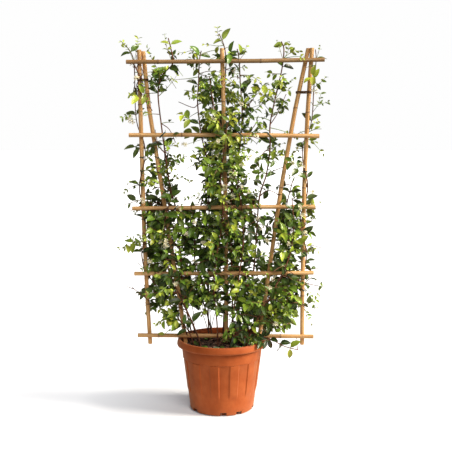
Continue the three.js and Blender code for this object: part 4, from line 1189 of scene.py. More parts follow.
def pick(piece, test, kind="verts"):
    """In edit mode, picks just the points or faces whose middle passes a test."""
    mesh = bmesh.from_edit_mesh(piece.data)
    for part in (*mesh.faces, *mesh.edges, *mesh.verts):
        part.select = False
    for part in getattr(mesh, kind):
        if test(part.co if kind == "verts" else part.calc_center_median()):
            part.select_set(True)
    bmesh.update_edit_mesh(piece.data)


def pick_all():
    """In edit mode, picks the whole mesh."""
    bpy.ops.mesh.select_all(action="SELECT")


def move(offset):
    """Moves what is picked, in metres."""
    bpy.ops.transform.translate(value=tuple(offset))


def scale(factors, centre=ORIGIN):
    """Scales what is picked about a point."""
    factors, centre = tuple(factors), tuple(centre)
    bpy.ops.transform.resize(value=factors, orient_type="GLOBAL", center_override=centre)


def rotate(angle, axis, centre=ORIGIN):
    """Turns what is picked about a point."""
    bpy.ops.transform.rotate(value=angle, orient_axis=axis, center_override=centre)


def extrude(offset, factors=None, centre=ORIGIN):
    """Extrudes what is picked by an offset in metres, and scales it there."""
    bpy.ops.mesh.extrude_region_move(TRANSFORM_OT_translate={"value": tuple(offset)})
    if factors is not None:
        scale(factors, centre)


def apply_all(piece):
    """Applies a piece's modifiers."""
    select_only(piece)
    for modifier in list(piece.modifiers):
        bpy.ops.object.modifier_apply(modifier=modifier.name)


def put_material(piece, *materials):
    """Gives a piece its materials and no others."""
    piece.data.materials.clear()
    for material in materials:
        piece.data.materials.append(material)


def settle(piece, slot, *nodes, smooth_degrees=None):
    """Smooths a finished piece, gives it its body and hides the solids it stands for.

    The slot is not used.
    """
    if smooth_degrees:
        select_only(piece)
        bpy.ops.object.shade_smooth_by_angle(angle=math.radians(smooth_degrees))
    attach(piece, BODY)
    if nodes:
        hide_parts(*nodes)


def metres(point):
    """Millimetres to metres."""
    return tuple(float(c) * MM for c in point)


def as_shape(piece):
    """The corners and faces of a modelled shape, whose own object goes."""
    corners = np.array([vert.co[:] for vert in piece.data.vertices], float)
    faces = [tuple(face.vertices) for face in piece.data.polygons]
    bpy.data.objects.remove(piece, do_unlink=True)
    return corners, faces


def store(mesh, name, values, kind="FLOAT", domain="POINT", field="value"):
    """Stores an attribute in a mesh."""
    layer = mesh.attributes.new(name, kind, domain)
    layer.data.foreach_set(field, np.asarray(values, np.float32).ravel())


def lay_copies(name, copies, numbers, undersides=None, blades=None):
    """One object from copies of shapes, each (corners, faces, axes, origin, size).

    Numbers has one value, or one for each corner, for each copy, under an attribute's name.
    """
    corners, faces, count = [], [], 0
    for shape_corners, shape_faces, axes, origin, size in copies:
        corners.append(origin + size * (shape_corners @ np.asarray(axes)))
        faces += [tuple(i + count for i in face) for face in shape_faces]
        count += len(shape_corners)
    mesh = bpy.data.meshes.new(name)
    mesh.from_pydata((np.vstack(corners) * MM).tolist(), [], faces)
    for key, values in numbers.items():
        spread = [np.broadcast_to(value, len(part)) for value, part in zip(values, corners)]
        store(mesh, key, np.concatenate(spread))
    if undersides:
        store(mesh, "underside", np.concatenate(undersides), domain="FACE")
        uv = np.vstack(blades).astype(np.float32)
        mesh.uv_layers.new(name="blade").data.foreach_set("uv", uv.ravel())
    mesh.update()
    piece = bpy.data.objects.new(name, mesh)
    bpy.context.collection.objects.link(piece)
    return piece


def curve_mesh(name, lines, resolution, place=None, **settings):
    """Rods along lines, made with a curve's own bevel: points and radii in millimetres."""
    curve = bpy.data.curves.new(name, "CURVE")
    curve.dimensions = "3D"
    curve.bevel_depth = 1.0
    curve.bevel_resolution = resolution
    curve.use_fill_caps = True
    curve.twist_mode = "MINIMUM"
    for key, value in settings.items():
        setattr(curve, key, value)
    for points, radii in lines:
        spline = curve.splines.new("POLY")
        spline.use_cyclic_u = place is not None
        spline.points.add(len(points) - 1)
        spline.points.foreach_set("co", np.c_[np.array(points) * MM, np.ones(len(points))].ravel())
        spline.points.foreach_set("radius", np.array(radii) * MM)
    piece = bpy.data.objects.new(name, curve)
    bpy.context.collection.objects.link(piece)
    if place:
        piece.matrix_world = place
    select_only(piece)
    bpy.ops.object.convert(target="MESH")
    return apply_place()


# Shapes that repeat: each is modelled once and copied. Leaves and flakes are a unit long. A row
# that is done waits far off, where the next one's test doesn't reach it
FAR = 100
NEAR_ROW = 0.01
LEAF_ROWS = [0.0, 0.1, 0.27, 0.48, 0.69, 0.87, 1.0]
LEAF_HALF_WIDTHS = [0.012, 0.035, 0.2, 0.237, 0.195, 0.105, 0.0]
# Breadth, twist, waviness and sideways bend of each kind of leaf
LEAF_VARIANTS = [
    (1.0, 0.0, 0.0, 0.0), (1.08, 0.16, 0.012, 0.02), (0.9, -0.2, -0.01, -0.03),
    (1.03, 0.3, 0.02, 0.035), (0.95, -0.1, -0.018, -0.015),
]
BLADE_THICK = 0.016
BLADE_CUP = -0.035


def model_leaf(number, variant):
    """A folded, arched blade on a short stalk: a grid shaped row by row, and a second skin."""
    wide, twist, wave, bend = variant
    rows, grid = len(LEAF_ROWS) - 1, bpy.ops.mesh.primitive_grid_add
    leaf = begin(f"leaf_shape_{number}", grid, x_subdivisions=rows, y_subdivisions=4, size=2)
    open_mesh(leaf)
    for side in (-1, 1):
        for share, cup in ((0.5, BLADE_CUP), (1.0, 0.0)):
            pick(leaf, lambda co: abs(co.y - side * share) < NEAR_ROW)
            move((0, 0, BLADE_FOLD * share + cup))
    for start, along, half in zip(np.linspace(-1, 1, rows + 1), LEAF_ROWS, LEAF_HALF_WIDTHS):
        pick(leaf, lambda co: abs(co.x - start) < NEAR_ROW)
        half = max(half * wide, 0.0005)
        scale((1, half, half), (start, 0, 0))
        rotate(-twist * (along - 0.3), "X", (start, 0, 0))
        lift = arch(along) - arch(0) * (1 - along) ** 6 + wave * math.sin(2 * math.pi * along)
        move((FAR + along - start, bend * math.sin(math.pi * along), lift))
    pick_all()
    move((-FAR, 0, 0))
    bpy.ops.mesh.duplicate()
    bpy.ops.mesh.flip_normals()
    skins = bmesh.from_edit_mesh(leaf.data)
    for vert in skins.verts:
        if vert.is_boundary:
            vert.select = False
    skins.select_flush_mode()
    bmesh.update_edit_mesh(leaf.data)
    move((0, 0, -BLADE_THICK))
    pick_all()
    bpy.ops.mesh.remove_doubles(threshold=0.0012)
    close_mesh()
    return leaf


def blade_map(corners, faces):
    """For each corner of a leaf's faces the share along and across, and for each face its side."""
    widths = np.interp(corners[:, 0], LEAF_ROWS, LEAF_HALF_WIDTHS)
    across = 0.5 + 0.5 * np.clip(corners[:, 1] / np.maximum(widths, 0.02), -1, 1)
    marks, sides = [], []
    for face in faces:
        a, b, c = (corners[i] for i in face[:3])
        sides.append(0.0 if np.cross(b - a, c - a)[2] > 0 else 1.0)
        marks += [(corners[i][0], across[i]) for i in face]
    return np.array(marks), np.array(sides)


def leaf_shapes():
    """Each kind of leaf: corners, faces, blade map and sides."""
    shapes = [as_shape(model_leaf(*kind)) for kind in enumerate(LEAF_VARIANTS)]
    return [(*shape, *blade_map(*shape)) for shape in shapes]


def leaf_mesh(name, leaves, shapes):
    """All the leaves of one stem in one mesh: each is (place, age, shape number, chance)."""
    places, ages, kinds, chances = zip(*leaves)
    copies = [
        (*shapes[kind][:2], (direction, np.cross(normal, direction), normal), root, length)
        for (root, direction, normal, length), kind in zip(places, kinds)
    ]
    blades, sides = [shapes[kind][2] for kind in kinds], [shapes[kind][3] for kind in kinds]
    return lay_copies(name, copies, dict(age=ages, chance=chances), sides, blades)


PETALS = 5
# Rows of a petal: distance from the middle, half width, sideways sweep and height
PETAL_ROWS = [
    (2.0, 1.0, 0.0, 12.1), (4.4, 1.5, 0.3, 13.0), (7.0, 2.7, 1.1, 13.4), (8.9, 3.1, 2.0, 13.9),
    (9.6, 1.2, 2.6, 14.2),
]
PETAL_PITCH = 0.32
PETAL_THICK = 0.35
# Steps up a flower's tube and up a bud: rise and change of girth
TUBE_STEPS = ((1.4, 1.5), (1.5, 1.0), (2.0, 0.9), (3.4, 1.25), (2.8, 1.1), (1.1, 1.9))
BUD_STEPS = ((1.5, 1.7), (3.0, 0.85), (3.0, 1.75), (2.6, 0.75), (1.8, 0.25))


def model_flower():
    """A pinwheel of lopsided petals on a slim tube: the facing side is +Z, lengths in mm."""
    grid = bpy.ops.mesh.primitive_grid_add
    flower = begin("petal_shape", grid, x_subdivisions=4, y_subdivisions=2, size=2)
    open_mesh(flower)
    for start, (reach, half, sway, height) in zip(np.linspace(-1, 1, 5), PETAL_ROWS):
        pick(flower, lambda co: abs(co.x - start) < NEAR_ROW)
        scale((1, half, 1), (start, 0, 0))
        rotate(PETAL_PITCH, "X", (start, 0, 0))
        move((FAR + reach - start, sway, height))
    pick_all()
    move((-FAR, 0, 0))
    close_mesh()
    flower.modifiers.new("skin", "SOLIDIFY").thickness = PETAL_THICK
    apply_all(flower)
    first_petal = len(flower.data.vertices)
    open_mesh(flower)
    for turn in range(1, PETALS):
        bpy.ops.mesh.select_all(action="DESELECT")
        mesh = bmesh.from_edit_mesh(flower.data)
        mesh.verts.ensure_lookup_table()
        for vert in mesh.verts[:first_petal]:
            vert.select_set(True)
        mesh.select_flush_mode()
        bmesh.update_edit_mesh(flower.data)
        bpy.ops.mesh.duplicate()
        rotate(-turn * math.tau / PETALS, "Z")
    close_mesh()
    tube = begin_disc("tube_shape", 10, 0.6, location=(0, 0, -0.4))
    for rise, factor in TUBE_STEPS:
        extrude((0, 0, rise), (factor, factor, 1))
    bpy.ops.mesh.inset(thickness=1.0)
    move((0, 0, -1.6))
    close_mesh()
    return join(flower, tube)


def model_bud():
    """A slim twisted bud, 11 mm long, along +Z."""
    bud = begin_disc("bud_shape", 6, 0.5)
    for rise, factor in BUD_STEPS:
        extrude((0, 0, rise), (factor, factor, 1))
        rotate(0.3, "Z")
    close_mesh()
    return bud


def model_chip(number):
    """A flake of bark: a cube flattened, cut, narrowed at its ends and roughened."""
    chip = begin(f"chip_shape_{number}", bpy.ops.mesh.primitive_cube_add, size=1)
    rng = np.random.default_rng(40 + number)
    open_mesh(chip)
    pick_all()
    scale((1, rng.uniform(0.45, 0.8), rng.uniform(0.18, 0.32)))
    bpy.ops.mesh.subdivide(number_cuts=1)
    for side in (-1, 1):
        pick(chip, lambda co: co.x * side > 0.4)
        scale((1, rng.uniform(0.3, 0.85), rng.uniform(0.4, 0.9)), (0.5 * side, 0, 0))
    pick_all()
    bpy.ops.transform.vertex_random(offset=0.055, seed=number + 1)
    close_mesh()
    return chip


def colour(name, description, hex_colour):
    """A colour that a user may change."""
    return bpy.props.FloatVectorProperty(
        name=name, description=description, subtype="COLOR", size=4, default=linear(hex_colour)
    )


def length(name, description, size):
    """A length that a user may change, given in millimetres."""
    return bpy.props.FloatProperty(
        name=name, description=description, unit="LENGTH", default=size * MM
    )


# What a user would change
class PotSettings(bpy.types.PropertyGroup):
    """Settings of the pot"""

    flute_rise: length("Flute rise", "How far the raised panels stand out", 2.7)
    main: colour("Terracotta", "Main colour of the plastic", "#A34F24")
    light: colour("Light terracotta", "Cloudy lighter areas", "#AD592C")
    shade: colour("Deep terracotta", "Cloudy deeper areas", "#96441B")
    worn: colour("Scuffs", "Colour of rubbed places", "#B4683A")
    dust: colour("Dust", "Soil dust at the foot", "#8A5A3C")
    sheen: colour("Sheen", "Tint of the satin sheen", "#FFD2A4")


class SoilSettings(bpy.types.PropertyGroup):
    """Settings of the soil and the bark flakes"""

    chips: bpy.props.IntProperty(
        name="Bark chips", description="Number of bark flakes", default=520, min=0, max=900
    )
    crumbs: bpy.props.IntProperty(
        name="Crumbs", description="Number of small crumbs", default=900, min=0, max=1500
    )
    main: colour("Compost", "Main colour of the compost", "#35261D")
    dark: colour("Damp compost", "Colour of damp crumbs", "#17100D")
    light: colour("Dry compost", "Colour of dry crumbs", "#75594A")
    speck: colour("Specks", "Colour of the palest specks", "#D6B49C")
    bark: colour("Bark", "Brown bark flakes", "#7A5744")
    bark_dark: colour("Dark bark", "Damp bark and its grain", "#30231C")
    bark_red: colour("Red bark", "Reddish bark flakes", "#C08A70")
    bark_pale: colour("Pale bark", "Palest bark flakes", "#E2C4AC")


class TrellisSettings(bpy.types.PropertyGroup):
    """Settings of the canes and their pins"""

    ring_rise: length("Joint rise", "How far a cane's joints stand out", 0.7)
    main: colour("Straw", "Main colour of the bamboo", "#D8A468")
    pale: colour("Pale straw", "Palest bamboo skin", "#E8C089")
    red: colour("Red patches", "Reddish patches", "#B8854E")
    streak: colour("Fibres", "Darker fibres", "#A87A45")
    scar: colour("Scars", "Joint scars and spots", "#7E5837")
    zinc_dark: colour("Dark zinc", "Darker mottling of the pins", "#7C7F82")
    zinc_light: colour("Light zinc", "Lighter mottling of the pins", "#B4B8BA")


class TieSettings(bpy.types.PropertyGroup):
    """Settings of the ties and lashings"""

    thickness: length("Tie thickness", "Thickness of a plastic tie", 1.3)
    light: colour("Tie green", "Lighter green of the ties", "#2F4A33")
    dark: colour("Tie dark green", "Darker green of the ties", "#16261A")
    jute_dark: colour("Dark jute", "Between the plies of the twine", "#3B2618")
    jute_light: colour("Light jute", "Plies of the twine", "#7D5B3C")


class FoliageSettings(bpy.types.PropertyGroup):
    """Settings of the leaves, shoots and stems"""

    lime: colour("Lime", "Youngest leaves", "#B0BA3E")
    fresh: colour("Fresh green", "Young leaves", "#86A233")
    green: colour("Green", "Grown leaves", "#4E6A20")
    deep: colour("Deep green", "Old leaves", "#1C2B13")
    rib: colour("Midrib", "Pale midrib and veins", "#8FA356")
    beneath: colour("Underside", "Pale matt underside", "#66793F")
    bark: colour("Bark", "Main colour of the woody stems", "#6B3D24")
    bark_dark: colour("Dark bark", "Darker bark", "#2F1C13")
    bark_light: colour("Light bark", "Pores of the bark", "#90603E")
    shoot: colour("Shoots", "Main colour of the green shoots", "#6F8A3B")
    shoot_red: colour("Red shoots", "Reddish places on shoots", "#7A4B33")
    shoot_light: colour("Light shoots", "Lighter places on shoots", "#93A850")


class FlowerSettings(bpy.types.PropertyGroup):
    """Settings of the flowers and their stalks"""

    sprays: bpy.props.IntProperty(
        name="Small sprays", description="Added small sprays", default=12, min=0, max=60
    )
    white: colour("White", "Open petals", "#F0EACF")
    cream: colour("Cream", "Throats and buds", "#D9CF92")
    shoot: colour("Stalks", "Main colour of the stalks", "#7E9A48")
    shoot_red: colour("Dull stalks", "Duller places on stalks", "#7C8A45")
    shoot_light: colour("Light stalks", "Lighter places on stalks", "#9DB25C")


class StageSettings(bpy.types.PropertyGroup):
    """Settings of the floor, the lights and the camera"""

    lens: bpy.props.FloatProperty(
        name="Lens", description="Camera lens in millimetres", default=67.7, min=20, max=200
    )
    tilt: bpy.props.FloatProperty(
        name="Camera tilt", description="Camera turn from straight down", subtype="ANGLE",
        default=math.radians(83.34),
    )
    key: bpy.props.FloatProperty(
        name="Key light", description="Strength of the key light", default=6.0, min=0
    )
    ambient: bpy.props.FloatProperty(
        name="Ambient", description="Strength of the soft light", default=0.16, min=0
    )
    floor: colour("Floor", "Colour of the floor", "#ECF0F8")


# Pot
def wall_radius(height):
    """The pot's outer radius between its base and its neck."""
    return mix(BASE_RADIUS, BODY_TOP_RADIUS, height / NECK_FOOT_HEIGHT)


def pot_profile():
    """Rings of the pot from the foot outside, over the rim, to the floor inside."""
    inside_floor = wall_radius(FLOOR) - WALL - 1
    return [
        (99, 0), (103.4, 1.6), (wall_radius(7) - 0.3, 5),
        *((wall_radius(h), h) for h in (9, 30, FLUTE_FOOT, 63, 70, 78, 120, 172)),
        (128.3, 174.2), (130.5, 175), (132.5, 194), (134.3, 212.6), (136.5, 214.2),
        (146.2, 214.8), (148.6, 216.2), (RIM_RADIUS, 220), (149.2, 226), (147, 235),
        (145.7, 237.3), (143, 238.4), (140.2, 237.6), (138, 234), (135.5, 228), (134.6, 214),
        (127.5, 181), (inside_floor + 2, FLOOR + 6), (inside_floor, FLOOR),
    ]


def on_raised_panel(co):
    """Whether a point of the pot's outside lies on one of the raised flute panels."""
    panel_turn = math.tau / FLUTE_PANELS
    turn = math.atan2(co.x, -co.y) - math.radians(FLUTE_START_DEG)
    panel = round(turn / panel_turn)
    is_near_middle = abs(turn - panel * panel_turn) < math.radians(HALF_PANEL_DEG)
    is_outside = math.hypot(co.x, co.y) > (wall_radius(co.z / MM) - 1.5) * MM
    return panel % 2 == 0 and is_near_middle and is_outside


class JASMINE_OT_pot(bpy.types.Operator):
    """Model the fluted nursery pot with its rolled rim and drain notches"""

    bl_idname = "jasmine.pot"
    bl_label = "Fluted pot"

    def execute(self, context):
        settings = context.scene.jasmine_pot
        profile = [(r * MM, z * MM) for r, z in pot_profile()]
        columns, start = FLUTE_PANELS * COLUMNS_PER_PANEL, math.radians(FLUTE_START_DEG)
        pot = begin_disc("fluted_pot", columns, profile[0][0], rotation=(0, 0, start))
        for (last_radius, last_height), (radius, height) in zip(profile, profile[1:]):
            factor = radius / last_radius
            extrude((0, 0, height - last_height), (factor, factor, 1))
        bpy.ops.mesh.select_mode(type="VERT")
        low, high = (FLUTE_FOOT + 1) * MM, FLUTE_HEAD * MM
        for foot, share in FLUTE_STEPS:
            foot = max(low, foot * MM)
            pick(pot, lambda co: foot < co.z < high and on_raised_panel(co))
            factor = 1 + share * settings.flute_rise / 0.12
            scale((factor, factor, 1))
        close_mesh()
        cutters = []
        for turn in map(math.radians, NOTCH_ANGLES_DEG):
            place = (BASE_RADIUS * MM * math.sin(turn), -BASE_RADIUS * MM * math.cos(turn), 0)
            cutters.append(begin(
                "notch_cutter", bpy.ops.mesh.primitive_cube_add, size=1, location=place,
                rotation=(0, 0, turn), scale=metres(NOTCH_SIZE),
            ))
        cutter = join(*cutters)
        notch = pot.modifiers.new("notches", "BOOLEAN")
        notch.operation = "DIFFERENCE"
        notch.solver = "EXACT"
        notch.object = cutter
        apply_all(pot)
        bpy.data.objects.remove(cutter, do_unlink=True)
        put_material(pot, moulded_plastic(settings))
        settle(pot, "pot_plastic", "pot", smooth_degrees=24)
        return {"FINISHED"}


# Soil
def soil_top(x, y):
    """Height of the soil's top, as in the solids."""
    inner = 1 - smooth(60, 130, np.hypot(x, y))
    broad = np.sin(x * 0.11 + 1.3) * np.cos(y * 0.13 - 0.4)
    small = 0.6 * np.sin(x * 0.23 - y * 0.19)
    return float(SOIL_LEVEL + SOIL_MOUND * inner + SOIL_BUMP * (broad + small))


# Leaves that lie on the soil: x, y, turn, length, age
FALLEN_LEAVES = [
    (-34, -100, 0.15, 31, 0.85), (48, -104, 0.1, 29, 0.6), (28, -84, 0.3, 28, 0.9),
    (-70, -80, -0.4, 25, 0.75), (-76, -52, 2.2, 28, 0.9), (10, -98, 2.7, 20, 0.85),
    (70, -66, 1.2, 30, 0.95), (-56, -92, 0.9, 19, 0.6), (-14, 40, 1.9, 30, 0.7),
    (50, 62, -2.2, 32, 0.9), (-62, 30, 0.2, 27, 0.45), (92, 8, 2.9, 29, 0.8),
    (-98, -12, -1.0, 25, 0.65), (20, 100, 0.5, 28, 0.5),
]
CHIP_SHAPES = 4
# Lengths of the large flakes, the small ones and the crumbs, and the share of flakes that is large
LARGE_CHIP = (6, 15)
SMALL_CHIP = (3, 7)
CRUMB = (1.5, 3.2)
LARGE_SHARE = 0.35
RINGS_OF_SOIL = 32


class JASMINE_OT_soil(bpy.types.Operator):
    """Model the potting mix with its crumbs, bark flakes and fallen leaves"""

    bl_idname = "jasmine.soil"
    bl_label = "Potting mix"

    def execute(self, context):
        settings = context.scene.jasmine_soil
        self.model_ground(settings)
        self.scatter_bark(settings)
        self.drop_leaves(context.scene.jasmine_foliage)
        return {"FINISHED"}

    def model_ground(self, settings):
        """A plug of soil, inset ring by ring on top and raised into crumbly lumps."""
        foot_radius, foot = SOIL_SIDE[0]
        ground = begin_disc("potting_mix", 128, foot_radius * MM, location=(0, 0, foot * MM))
        for (last_radius, low), (radius, high) in zip(SOIL_SIDE, SOIL_SIDE[1:]):
            extrude((0, 0, (high - low) * MM), (radius / last_radius, radius / last_radius, 1))
        for _ in range(RINGS_OF_SOIL):
            bpy.ops.mesh.inset(thickness=4 * MM)
        close_mesh()
        for vert in ground.data.vertices:
            x, y, z = vert.co / MM
            if z > SOIL_EDGE_LEVEL - 1:
                edge = smooth(SOIL_RADIUS - 0.5, SOIL_RADIUS - 9, math.hypot(x, y))
                coarse = noise.noise(Vector((x, y, 3)) / 7) * 2.2
                lump = coarse + noise.noise(Vector((x, y, 9)) / 3) * 1.2
                vert.co.z = mix(SOIL_EDGE_LEVEL, soil_top(x, y) + lump, edge) * MM
        put_material(ground, potting_mix(settings))
        settle(ground, "potting_mix", "soil", smooth_degrees=60)

    def scatter_bark(self, settings):
        """Bark flakes and crumbs that lie on the soil."""
        rng = np.random.default_rng(77)
        shapes = [as_shape(model_chip(number)) for number in range(CHIP_SHAPES)]
        copies, chances = [], []
        for index in range(settings.chips + settings.crumbs):
            radius = (SOIL_RADIUS - 6) * math.sqrt(rng.random())
            turn = rng.uniform(0, math.tau)
            x, y = radius * math.cos(turn), radius * math.sin(turn)
            is_large = index < settings.chips * LARGE_SHARE
            size = rng.uniform(*(LARGE_CHIP if is_large else SMALL_CHIP))
            if index >= settings.chips:
                size = rng.uniform(*CRUMB)
            direction = unit((math.cos(turn * 7), math.sin(turn * 7), rng.uniform(-0.35, 0.35)))
            upright = (rng.uniform(-0.3, 0.3), rng.uniform(-0.3, 0.3), 1)
            side = unit(np.cross(upright, direction))
            origin = np.array((x, y, soil_top(x, y) + (size * 0.06 + 0.4)))
            shape = shapes[int(rng.integers(CHIP_SHAPES))]
            copies.append((*shape, (direction, side, np.cross(direction, side)), origin, size))
            chances.append(rng.random() ** 1.3)
        chips = lay_copies("bark_flakes", copies, dict(chance=chances))
        put_material(chips, bark_chip(settings))
        settle(chips, "potting_mix")

    def drop_leaves(self, settings):
        """Old leaves that lie on the soil."""
        fallen = []
        for x, y, turn, size, age in FALLEN_LEAVES:
            direction = unit((math.cos(turn), math.sin(turn), 0.12))
            normal = square_part((0.2 * math.sin(3 * turn), -0.75, 0.9), direction)
            root = np.array((x, y, soil_top(x, y) + 4.5))
            kind = int(abs(x)) % len(LEAF_VARIANTS)
            fallen.append(((root, direction, normal, size), age, kind, abs(math.sin(x))))
        litter = leaf_mesh("fallen_leaves", fallen, leaf_shapes())
        put_material(litter, jasmine_leaf(settings))
        settle(litter, "jasmine_leaf", smooth_degrees=55)


# Canes: across a joint, the distance along, the share of the rise, and how dark the scar is
JOINT = [
    (-3.5, 0, 0), (-1.3, 0.86, 0.5), (0, 1, 0.9), (0.9, 0.1, 1.0), (1.8, 0.5, 0.7), (3.5, 0, 0.1),
]
CUT_END_MARK = 0.9


def cane_stations(points, ring_rise):
    """Centres, radii and ring marks along a cane: its joints stand out at the inner points."""
    stations = [(points[0], 0, 0)]
    for before, here, after in zip(points, points[1:], points[2:]):
        for offset, rise, mark in JOINT:
            direction = unit(after - here) if offset > 0 else unit(here - before)
            stations.append((here + direction * offset, rise * ring_rise, mark))
    return [*stations, (points[-1], 0, 0)]


def model_cane(name, line, ring_rise, number):
    """One hollow cane: a disc drawn out from station to station, then both ends pushed in."""
    points = np.array(line, float)
    is_level = name in BARS
    radius = BAR_RADIUS if is_level else CANE_RADIUS
    stations = cane_stations(points, ring_rise)
    lying = (0, math.pi / 2 if is_level else 0, 0)
    foot = metres(points[0])
    cane = begin_disc(f"bamboo_{name}", 24, radius * MM, location=foot, rotation=lying)
    for (last, last_rise, _), (here, rise, _) in zip(stations, stations[1:]):
        factor = (radius + rise) / (radius + last_rise)
        factors = (1, factor, factor) if is_level else (factor, factor, 1)
        extrude(metres(here - last), factors, metres(here))
    for end, next_point in ((points[-1], points[-2]), (points[0], points[1])):
        inward = unit(next_point - end)
        middle = Vector(metres(end))
        pick(cane, lambda co: (co - middle).length < MM, "faces")
        # A cut edge, the wall of the cane, and its hollow
        bpy.ops.mesh.inset(thickness=0.6 * MM)
        move(metres(-inward * 0.3))
        bpy.ops.mesh.inset(thickness=1.7 * MM)
        bpy.ops.mesh.inset(thickness=0.4 * MM)
        move(metres(inward * 1.2))
        extrude(metres(inward * 9))
    close_mesh()
    mark_cane(cane.data, name, points, radius, stations, number)
    return cane


def mark_cane(mesh, name, points, radius, stations, number):
    """Stores what the bamboo reads: place on the cane, rings and tone."""
    is_level = name in BARS
    axis = 0 if is_level else 2
    steps = np.linalg.norm(np.diff(points, axis=0), axis=1)
    places = np.array([vert.co[:] for vert in mesh.vertices]) / MM
    along = np.interp(places[:, axis], points[:, axis], np.concatenate([[0], np.cumsum(steps)]))
    off = places - np.stack(
        [np.interp(places[:, axis], points[:, axis], column) for column in points.T], 1
    )
    turn = np.arctan2(off[:, 1], off[:, 2] if is_level else off[:, 0])
    turn = np.where(turn < -math.pi + 1e-3, math.pi, turn)
    round_it = np.stack([along, np.cos(turn) * 3.14, np.sin(turn) * 3.14 + 40 * number], 1)
    store(mesh, "cane", round_it, "FLOAT_VECTOR", field="vector")
    ring = np.zeros(len(places))
    for station, _, mark in stations:
        near = np.abs(places[:, axis] - station[axis]) < 0.25
        ring[near] = np.maximum(ring[near], mark)
    ends = [np.linalg.norm(places - end, axis=1) for end in (points[0], points[-1])]
    ring[np.minimum(*ends) < radius - 1.5] = CUT_END_MARK
    store(mesh, "ring", ring)
    store(mesh, "tone", np.full(len(places), CANE_TONES.get(name, USUAL_TONE)))


class JASMINE_OT_trellis(bpy.types.Operator):
    """Model the bamboo canes of the trellis and finish its wire pins"""

    bl_idname = "jasmine.trellis"
    bl_label = "Bamboo trellis"

    def execute(self, context):
        settings = context.scene.jasmine_trellis
        skin = bamboo(settings)
        for number, (name, line) in enumerate(CANES.items()):
            cane = model_cane(name, line, settings.ring_rise / MM, number)
            put_material(cane, skin)
            settle(cane, "bamboo", name, smooth_degrees=50)
        steel = galvanised_wire(settings)
        for name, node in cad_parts.items():
            if name.startswith("pin_"):
                for slot in node.material_slots:
                    slot.material = steel
        return {"FINISHED"}


# Ties
TIE_BREADTH = 4
TIE_GAP = 0.3
LOOP_STEPS = 28
BAR_TIES = {
    "tie_bar_4_left": ("bar_4", "left_inner", 1),
    "tie_bar_3_left": ("bar_3", "left_inner", 1),
    "tie_bar_2_left": ("bar_2", "left_inner", 1),
    "tie_bar_3_centre_left": ("bar_3", "centre_left", 1),
    "tie_bar_2_centre_right": ("bar_2", "centre_right", -1),
    "tie_bar_3_right": ("bar_3", "right_inner", -1),
    "tie_bar_2_right": ("bar_2", "right_inner", -1),
}
POLE_TIES = {
    "tie_post_left": ("post_left", "left_post", 3.3, 796),
    "tie_post_right_low": ("post_right", "right_post", 3.3, 568),
    "tie_post_right_high": ("post_right", "right_post", 3.3, 794),
    "tie_middle": ("cane_middle", "tallest", 2.8, 812),
}
LASHINGS = {
    "lashing_left": ("post_left", "cane_leaning_left", 8.1, 1090),
    "lashing_right": ("post_right", "cane_leaning_right", 8.1, 1050),
}
LASHING_TURNS = 4
# Bands with no solid of their own: cane and height
BANDS = [
    ("post_left", 840), ("post_left", 763), ("post_left", 637), ("cane_leaning_left", 840),
    ("cane_leaning_left", 790), ("cane_leaning_left", 523), ("cane_middle", 599),
    ("cane_middle", 365), ("post_right", 437), ("post_right", 401), ("post_right", 351),
    ("cane_leaning_left", 352),
]


def hull_chain(points):
    """One side of the convex outline of sorted points."""
    kept = []
    for p in points:
        while len(kept) > 1:
            (ax, ay), (bx, by) = kept[-2], kept[-1]
            if (bx - ax) * (p[1] - ay) - (by - ay) * (p[0] - ax) > 1e-6:
                break
            kept.pop()
        kept.append(p)
    return kept[:-1]


def loop_round(rods, space):
    """A loop drawn tight round rods in a plane: each is middle u, v and two half sizes."""
    turns = [math.tau * step / LOOP_STEPS for step in range(LOOP_STEPS)]
    points = sorted(
        (u + (half_u + space) * math.cos(turn), v + (half_v + space) * math.sin(turn))
        for u, v, half_u, half_v in rods for turn in turns
    )
    return hull_chain(points) + hull_chain(points[::-1])


def bar_tie(bar, stem_name, slant):
    """Centre, two directions and rods of a tie that holds a stem against a level cane."""
    stem = STEMS[stem_name]
    route = Route(stem.points)
    guess = route.at(route.at_height(BARS[bar][1][1]))
    share = route.at_height(on_line(BARS[bar], 0, guess[0])[1])
    x, y, _ = route.at(share)
    thick = mix(*stem.radius, share)
    smear = TIE_BREADTH / 2 + 0.4
    rods = [
        (0, 0, BAR_RADIUS * math.sqrt(2) + smear, BAR_RADIUS),
        (0, y - BAR_Y, thick * math.sqrt(2) + smear + 2.2, thick + 0.4),
    ]
    centre = np.array((x, BAR_Y, on_line(BARS[bar], 0, x)[1]))
    return centre, unit((slant, 0, 1)), np.array((0.0, 1.0, 0.0)), rods


def pole_tie(pole, rod_points, rod_radius, height):
    """Centre, two directions and rods of a tie that holds a rod against an upright cane."""
    centre = on_line(UPRIGHTS[pole], 2, height)
    route = Route(rod_points)
    rod = route.at(route.at_height(height))
    gap = np.array((rod[0] - centre[0], rod[1] - centre[1], 0))
    across = unit(gap)
    around = CANE_RADIUS + 0.1
    rods = [(0, 0, around, around), (np.linalg.norm(gap), 0, rod_radius, rod_radius)]
    return centre, across, np.cross((0, 0, 1), across), rods


def in_place(place, point, rise=0.0):
    """A point of a tie's plane, lifted out of the plane."""
    centre, across, off, _ = place
    return centre + across * point[0] + off * point[1] + np.cross(across, off) * rise


